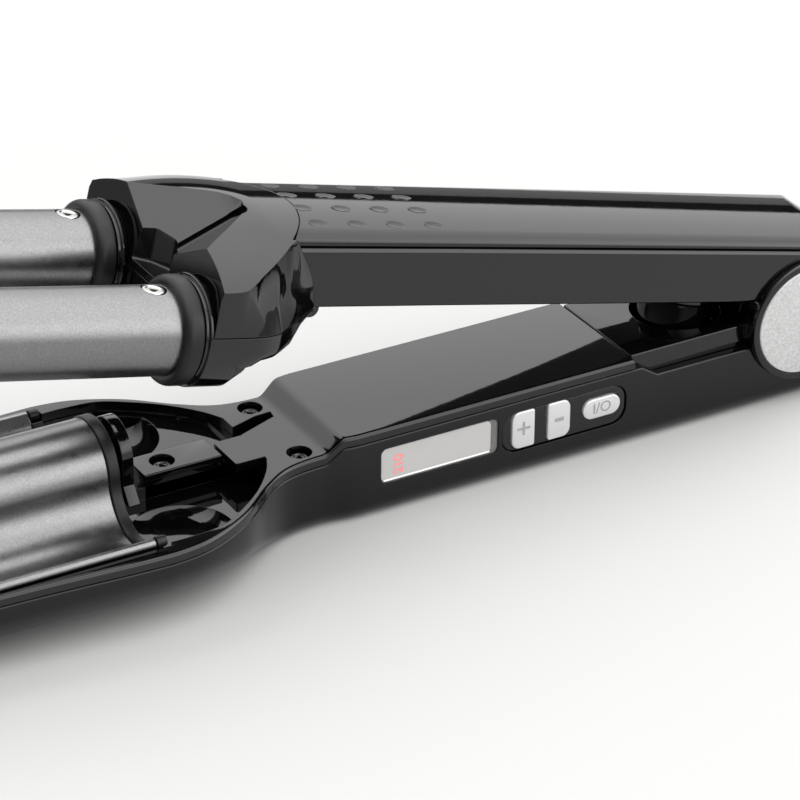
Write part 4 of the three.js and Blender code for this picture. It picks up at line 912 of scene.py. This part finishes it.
def yoke_upper():
    rings = []
    for x in np.linspace(YOKE_UPPER_FRONT, YOKE_REAR, 120):
        edge, foot = float(top_edge(x)), float(yoke_outline(x))
        flank = []
        for share in np.linspace(0, 1, 36)[1:-1]:
            flank.append((float(blend(foot, edge, share)) - flank_hollow(x, share),
                          float(blend(YOKE_PARTING, yoke_top(x, edge), share))))
        top = [(y, yoke_top(x, y)) for y in np.linspace(edge, 0, 64)]
        fade = float(blend(1, 0, (x - YOKE_UPPER_FRONT) / 8))
        section = both_sides([(0, YOKE_PARTING), (foot, YOKE_PARTING)] + flank + top)
        rings.append([(x + (0.5 - min(0.3 * (LOBE_TOP - z), 1.8)) * fade, y, z) for y, z in section])
    return skinned("yoke_crown", rings)


def valley():
    """A wedge whose keel rises towards the arm: it leaves two facets that meet in a crease."""
    reach = 40
    rings = []
    for x, keel in ((-172, 6.4), (-149.5, 19.9), (-147.6, 21.5), (-146.2, 23.6), (-145, 28)):
        half = [(0, keel), (0.3, keel + 0.08), (reach, keel + CREASE_SLOPE * reach), (reach, 60), (0, 60)]
        rings.append(along(x, both_sides(half)))
    return skinned("valley", rings)


def yoke_bottom(x, y, foot):
    """Belly with round lower corners, and a round socket under each barrel."""
    belly = float(blend(-1.2, 5, (x + 142.5) / 8))
    corner = float(np.clip((abs(y) - foot + 3.5) / 3.5, 0, 1))
    belly += min(3.4, YOKE_PARTING - FIT - 0.4 - belly) * (1 - math.sqrt(1 - corner**2))
    beside = abs(y) - BARREL_Y
    outer = 0 < beside and foot > BARREL_Y + 8
    beside = min(1.0, beside / (foot - BARREL_Y) if outer else abs(beside) / SOCKET_RADIUS)
    socket = BARREL_ABOVE_HINGE - (SOCKET_RADIUS - 0.4) * math.sqrt(1 - beside**2)
    low = float(blend(belly, min(belly, socket), (-152.6 - x) / 6))
    return max(low, -1.8) if abs(y) > float(cavity_outline(x)) - 1 else low


def yoke_lower():
    top, rings = YOKE_PARTING - FIT, []
    for x in np.linspace(YOKE_FRONT, YOKE_REAR, 96):
        foot = float(yoke_outline(x))
        across = list(np.linspace(0, foot - 4, 40)) + [foot - 4 + 4 * math.sin(a) for a in np.radians(range(6, 91, 6))]
        under = [(y, min(yoke_bottom(x, y, foot), top - 0.2)) for y in across]
        rings.append(along(x, both_sides(under + [(foot, top), (0, top)])))
    return skinned("yoke_belly", rings)


def barrel_axis(side):
    return (side * BARREL_Y, BARREL_ABOVE_HINGE)


def barrel_bore(side):
    bore, spigot = (rod("bore", "x", r + FIT, COLLAR_FRONT - 1, YOKE_FRONT + depth, barrel_axis(side))
                    for r, depth in ((BARREL_RADIUS, 8), (SPIGOT_RADIUS, 4.8)))
    return combined(bore, spigot, "UNION")


def notch():
    half = [(-172, 8.6), (-166.4, 8.4), (-162.3, 5.4), (-159.9, 0.9)]
    plan = half + [(x, -y) for x, y in half[::-1]]
    return rounded(prism("notch", plan, "z", NOTCH_FLOOR, 40), 0.6, 5, 25)


def scoop():
    """A round-ended groove along the near side of the valley's crease, with an upright far wall."""
    r = SCOOP_RADIUS
    plan = [(-30, -2 * r), (-r, -2 * r)] + arc((-r, -r), (r, r), -90, 90, 24) + [(-30, 0)]
    piece = rounded(prism("scoop", plan, "z", -SCOOP_DEPTH, 14), 0.7, 5, 60)
    piece.data.transform(Matrix.Translation(Vector((SCOOP_END, 0, SCOOP_HEIGHT)) * MM)
                         @ Matrix.Rotation(-math.atan(CREASE_RISE), 4, "Y"))
    return piece


def behind_seam(base):
    edge = [(YOKE_SEAM - y**2 / (2 * YOKE_SEAM_RADIUS), y) for y in np.linspace(-17, 17, 60)]
    return prism("behind", edge + [(0, 17), (0, -17)], "z", base, 60)


def yoke_screw_hole(radius, start, end):
    return rod("bore", "z", radius, start, end, (YOKE_SCREW_X, 0), 48)


upper_half = yoke_upper()
cut(upper_half, valley(), scoop(), notch(), behind_seam(4), barrel_bore(1), barrel_bore(-1))
handed_over(upper_half, "yoke_upper", "piano_black", 26, body="upper_arm")

lower_half = yoke_lower()
tongue_top = underside_height(-129.4) - FIT
tongue_side = [(-138, 1)] + arc((-131.4, 3), (2, 2), -90, 0, 8) + [(-129.4, tongue_top), (-138, tongue_top)]
tongue = prism("tongue", tongue_side, "y", -12, 12)
combined(lower_half, rounded(tongue, 0.4, 3), "UNION")
cut(lower_half, behind_seam(underside_height(-138) - FIT), barrel_bore(1), barrel_bore(-1),
    yoke_screw_hole(SCREW_RADIUS + SLIDE, -1, 2.8), yoke_screw_hole(SCREW_RADIUS * SHANK_SHARE + FIT, 0, 12))
handed_over(lower_half, "yoke_lower", "piano_black", 26, body="upper_arm")

under_screw = screw("yoke_fastener", YOKE_SCREW_X, 0, -1.3, 1.2, 7.5)
under_screw.data.transform(Matrix.Scale(-1, 4, (0, 0, 1)))
tidy(under_screw)
handed_over(under_screw, "yoke_screw", "bright_steel", body="upper_arm")

# Barrels with their collars, rings, screws and cool tips
SCREW_X = COLLAR_FRONT - 3.5
BARREL_SCREW_RADIUS = 2.5
BARREL_END = YOKE_FRONT + 7.4
BORE_RADIUS = BARREL_RADIUS - BARREL_WALL
ON_BARREL = BARREL_RADIUS + 0.02


def barrel(name, side):
    profile = [(BORE_RADIUS, PLATE_START), (BARREL_RADIUS - 0.25, PLATE_START), (BARREL_RADIUS, PLATE_START + 0.25),
               (BARREL_RADIUS, BARREL_END), (BORE_RADIUS, BARREL_END)]
    piece = turned(name, profile, "x", barrel_axis(side), 160)
    hole = rod("hole", "z", BARREL_SCREW_RADIUS + 0.3, BARREL_ABOVE_HINGE + 4, 40, (SCREW_X, side * BARREL_Y), 64)
    return cut(piece, hole)


def collar(name, side):
    end, r = COLLAR_FRONT + COLLAR_LENGTH - 0.2, COLLAR_RADIUS
    front = [(a, b) for b, a in arc((COLLAR_FRONT + 1.6, r - 1.6), (1.6, 1.6), 180, 90, 10)]
    back = [(a, b) for b, a in arc((end - 0.6, r - 0.6), (0.6, 0.6), 90, 0, 6)]
    profile = [(ON_BARREL, COLLAR_FRONT)] + front + back + [(ON_BARREL, end)]
    return turned(name, profile, "x", barrel_axis(side), 128)


def socket_ring(name, side):
    r, start, end = RING_RADIUS, COLLAR_FRONT + COLLAR_LENGTH, YOKE_FRONT - FIT
    step = [(ON_BARREL, start), (r - 1, start), (r - 0.65, start + 0.15), (r - 0.6, start + 0.8),
            (r - 0.15, start + 0.8), (r, start + 0.95)]
    spigot = [(r, YOKE_FRONT - FIT - 0.2), (r - 0.2, end), (SPIGOT_RADIUS, end), (SPIGOT_RADIUS, YOKE_FRONT + 4.5),
              (ON_BARREL, YOKE_FRONT + 4.5)]
    return turned(name, step + spigot, "x", barrel_axis(side), 128)


def cool_tip(name, side):
    start, end = PLATE_START - FIT - BARREL_TIP_LENGTH, PLATE_START - FIT
    nose = [(a, b) for b, a in arc((start + 5, 0), (5, BARREL_RADIUS), 180, 90, 18)]
    profile = nose + [(BARREL_RADIUS, end - 0.2), (BARREL_RADIUS - 0.2, end), (BORE_RADIUS - FIT, end),
                      (BORE_RADIUS - FIT, end + 1.6), (0, end + 1.6)]
    return turned(name, profile, "x", barrel_axis(side), 128)


for name, side in SIDES:
    handed_over(barrel(f"barrel_tube_{name}", side), f"barrel_{name}", "titanium_coat", body="upper_arm")
    handed_over(collar(f"collar_ring_{name}", side), f"collar_{name}", "soft_black", body="upper_arm")
    handed_over(socket_ring(f"step_ring_{name}", side), f"socket_ring_{name}", "piano_black", body="upper_arm")
    top = BARREL_ABOVE_HINGE + BARREL_RADIUS - 0.15
    fastener = screw(f"barrel_fastener_{name}", SCREW_X, side * BARREL_Y, top, 1.0, 4, BARREL_SCREW_RADIUS, turn=30)
    handed_over(fastener, f"barrel_screw_{name}", "bright_steel", body="upper_arm")
    handed_over(cool_tip(f"cool_tip_{name}", side), f"barrel_tip_{name}", "tip_black", body="upper_arm")

# CAD nodes that stay, inside the casings
for node, look in (("hinge_pin", "bright_steel"), ("hinge_bush", "bush_brass"), ("plate_carrier", "tip_black"),
                   ("plate_heater", "core_white"), ("circuit_board", "board_green"), ("display_panel", "panel_grey"),
                   ("barrel_core_near", "core_white"), ("barrel_core_far", "core_white")):
    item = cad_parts[node]
    item.data.materials.clear()
    item.data.materials.append(FINISHES[look])


# Digits on the display and signs on the keys
def lettering(name, text, size, place, turn, depth, look, body, bold):
    """Plain raised characters that stand on a wall facing -Y."""
    words = bpy.data.curves.new(name, "FONT")
    words.body = text
    words.size, words.offset, words.extrude = size * MM, bold * MM, depth * MM
    words.align_x = words.align_y = "CENTER"
    piece = bpy.data.objects.new(name, words)
    bpy.context.scene.collection.objects.link(piece)
    alone(piece)
    bpy.ops.object.convert(target="MESH")
    piece = bpy.context.active_object
    facing = Matrix.Rotation(math.radians(90), 4, "X") @ Matrix.Rotation(math.radians(turn), 4, "Z")
    piece.data.transform(Matrix.Translation(Vector(place) * MM) @ facing)
    return handed_over(tidy(piece), None, look, body=body)


# The painted highlight along the display window's lower edge
handed_over(painted_lens_highlight(), None, "painted_edge_highlight")
lettering("display_digits", "210", 3.3, (-107.9, WALL + 0.425, 11.6), 90, 0.012, "digit_red", "lower_arm", 0.1)
SIGNS = (("+", 7, 0), ("-", 9.5, 0.9), ("I/O", 3.7, 0))
for (sign, size, lift), (key, start, length, bottom, height, _, _) in zip(SIGNS, KEYS):
    middle = (start + length / 2, WALL - KEY_STANDS_OUT, bottom + height / 2 + lift)
    lettering(f"{key}_sign", sign, size, middle, 0, 0.04, "symbol_grey", f"{key}_key", 0.03)


# Stage, light and camera. The levels go from the floor's height (0) to straight up (1). BACK points to the
# pale wall, and FRONT to the soft light by the camera.
BACK = (0.506, 0.862, 0)
WALL_LEVELS = [(-0.2, 0.27), (0.04, 0.27), (0.05, 0.02), (0.135, 0.02), (0.15, 1.45), (0.3, 1.6), (0.5, 1.85),
               (0.7, 2.6), (1.0, 3.3)]
ROOM_LEVELS = [(-0.2, 0.5), (0.0, 0.4), (0.13, 0.3), (0.5, 0.3), (0.65, 1.2), (0.8, 2.2), (1.0, 3.3)]
FRONT = (0.614, -0.789, 0)
FRONT_LEVELS = [(-0.2, 0), (-0.05, 0.1), (0.22, 2.6), (0.45, 3.0), (0.7, 0.9), (1.0, 0)]
SEEN_WHITE = (0.94, 0.94, 0.94, 1)


def floor():
    bpy.ops.mesh.primitive_circle_add(vertices=96, radius=0.62, fill_type="NGON", location=(-0.1, 0.0, 0.0))
    piece = bpy.context.active_object
    piece.name = "floor"
    made = bpy.data.materials.new("floor_white")
    made.use_nodes = True
    with_values(made.node_tree.nodes["Principled BSDF"], Base_Color=(0.445, 0.445, 0.44, 1), Roughness=0.9,
                Specular_IOR_Level=0.1)
    piece.data.materials.append(made)


def level_ramp(tree, source, low, stops):
    """Grey levels along a value that runs from low to 1."""
    place = node_in(tree, "ShaderNodeMapRange", From_Min=low, From_Max=1.0)
    tree.links.new(source, place.inputs["Value"])
    ramp = node_in(tree, "ShaderNodeValToRGB")
    wired(tree, (place, "Result", ramp, "Fac"))
    elements = ramp.color_ramp.elements
    for element, (at, level) in zip(elements, (stops[0], stops[-1])):
        element.position, element.color = (at - low) / (1.0 - low), (level, level, level, 1)
    for at, level in stops[1:-1]:
        elements.new((at - low) / (1.0 - low)).color = (level, level, level, 1)
    return ramp.outputs["Color"]


def share_toward(tree, view, direction, stops):
    """How much a view direction belongs to the side of the room that lies in one direction."""
    along_it = node_in(tree, "ShaderNodeVectorMath")
    along_it.operation = "DOT_PRODUCT"
    along_it.inputs[1].default_value = direction
    tree.links.new(view, along_it.inputs[0])
    return level_ramp(tree, along_it.outputs["Value"], -1.0, stops)


def mixed(tree, factor, under, over, how="MIX"):
    node = node_in(tree, "ShaderNodeMix")
    node.data_type, node.blend_type = "RGBA", how
    for label, source in (("Factor", factor), ("A", under), ("B", over)):
        if isinstance(source, tuple):
            node.inputs[label].default_value = source
        else:
            tree.links.new(source, node.inputs[label])
    return node.outputs["Result"]


def surroundings():
    """White to the camera. Light and reflections come from a pale wall behind, a room and its ceiling, and
    a soft light in front."""
    world = bpy.data.worlds.new("room")
    bpy.context.scene.world = world
    world.use_nodes = True
    tree = world.node_tree
    view = node_in(tree, "ShaderNodeTexCoord").outputs["Generated"]
    split = node_in(tree, "ShaderNodeSeparateXYZ")
    tree.links.new(view, split.inputs["Vector"])
    wall, room, front = (level_ramp(tree, split.outputs["Z"], -0.2, stops)
                         for stops in (WALL_LEVELS, ROOM_LEVELS, FRONT_LEVELS))
    behind = share_toward(tree, view, BACK, [(-1, 0), (-0.25, 0), (0.2, 1), (1, 1)])
    facing = share_toward(tree, view, FRONT, [(-1, 0), (0.45, 0), (0.85, 1), (1, 1)])
    light = mixed(tree, facing, mixed(tree, behind, room, wall), front, "ADD")
    path = node_in(tree, "ShaderNodeLightPath")
    seen = node_in(tree, "ShaderNodeMath")
    seen.operation = "MAXIMUM"
    tree.links.new(path.outputs["Is Camera Ray"], seen.inputs[0])
    tree.links.new(path.outputs["Is Transmission Ray"], seen.inputs[1])
    final = mixed(tree, seen.outputs["Value"], light, SEEN_WHITE)
    tree.links.new(final, tree.nodes["Background"].inputs["Color"])


def photo_camera():
    data = bpy.data.cameras.new("photo_camera")
    data.sensor_width = 36
    data.lens = 168.34
    camera = bpy.data.objects.new("photo_camera", data)
    bpy.context.scene.collection.objects.link(camera)
    azimuth, elevation, roll = -30.416, 28.851, 0.577
    camera.matrix_world = Matrix.Translation((-0.469487, -0.632385, 0.421166))
    for angle, axis in ((azimuth, "Z"), (90 - elevation, "X"), (roll, "Z")):
        camera.matrix_world @= Matrix.Rotation(math.radians(angle), 4, axis)
    bpy.context.scene.camera = camera


bpy.context.scene.view_settings.view_transform = "Standard"
floor()
surroundings()
photo_camera()
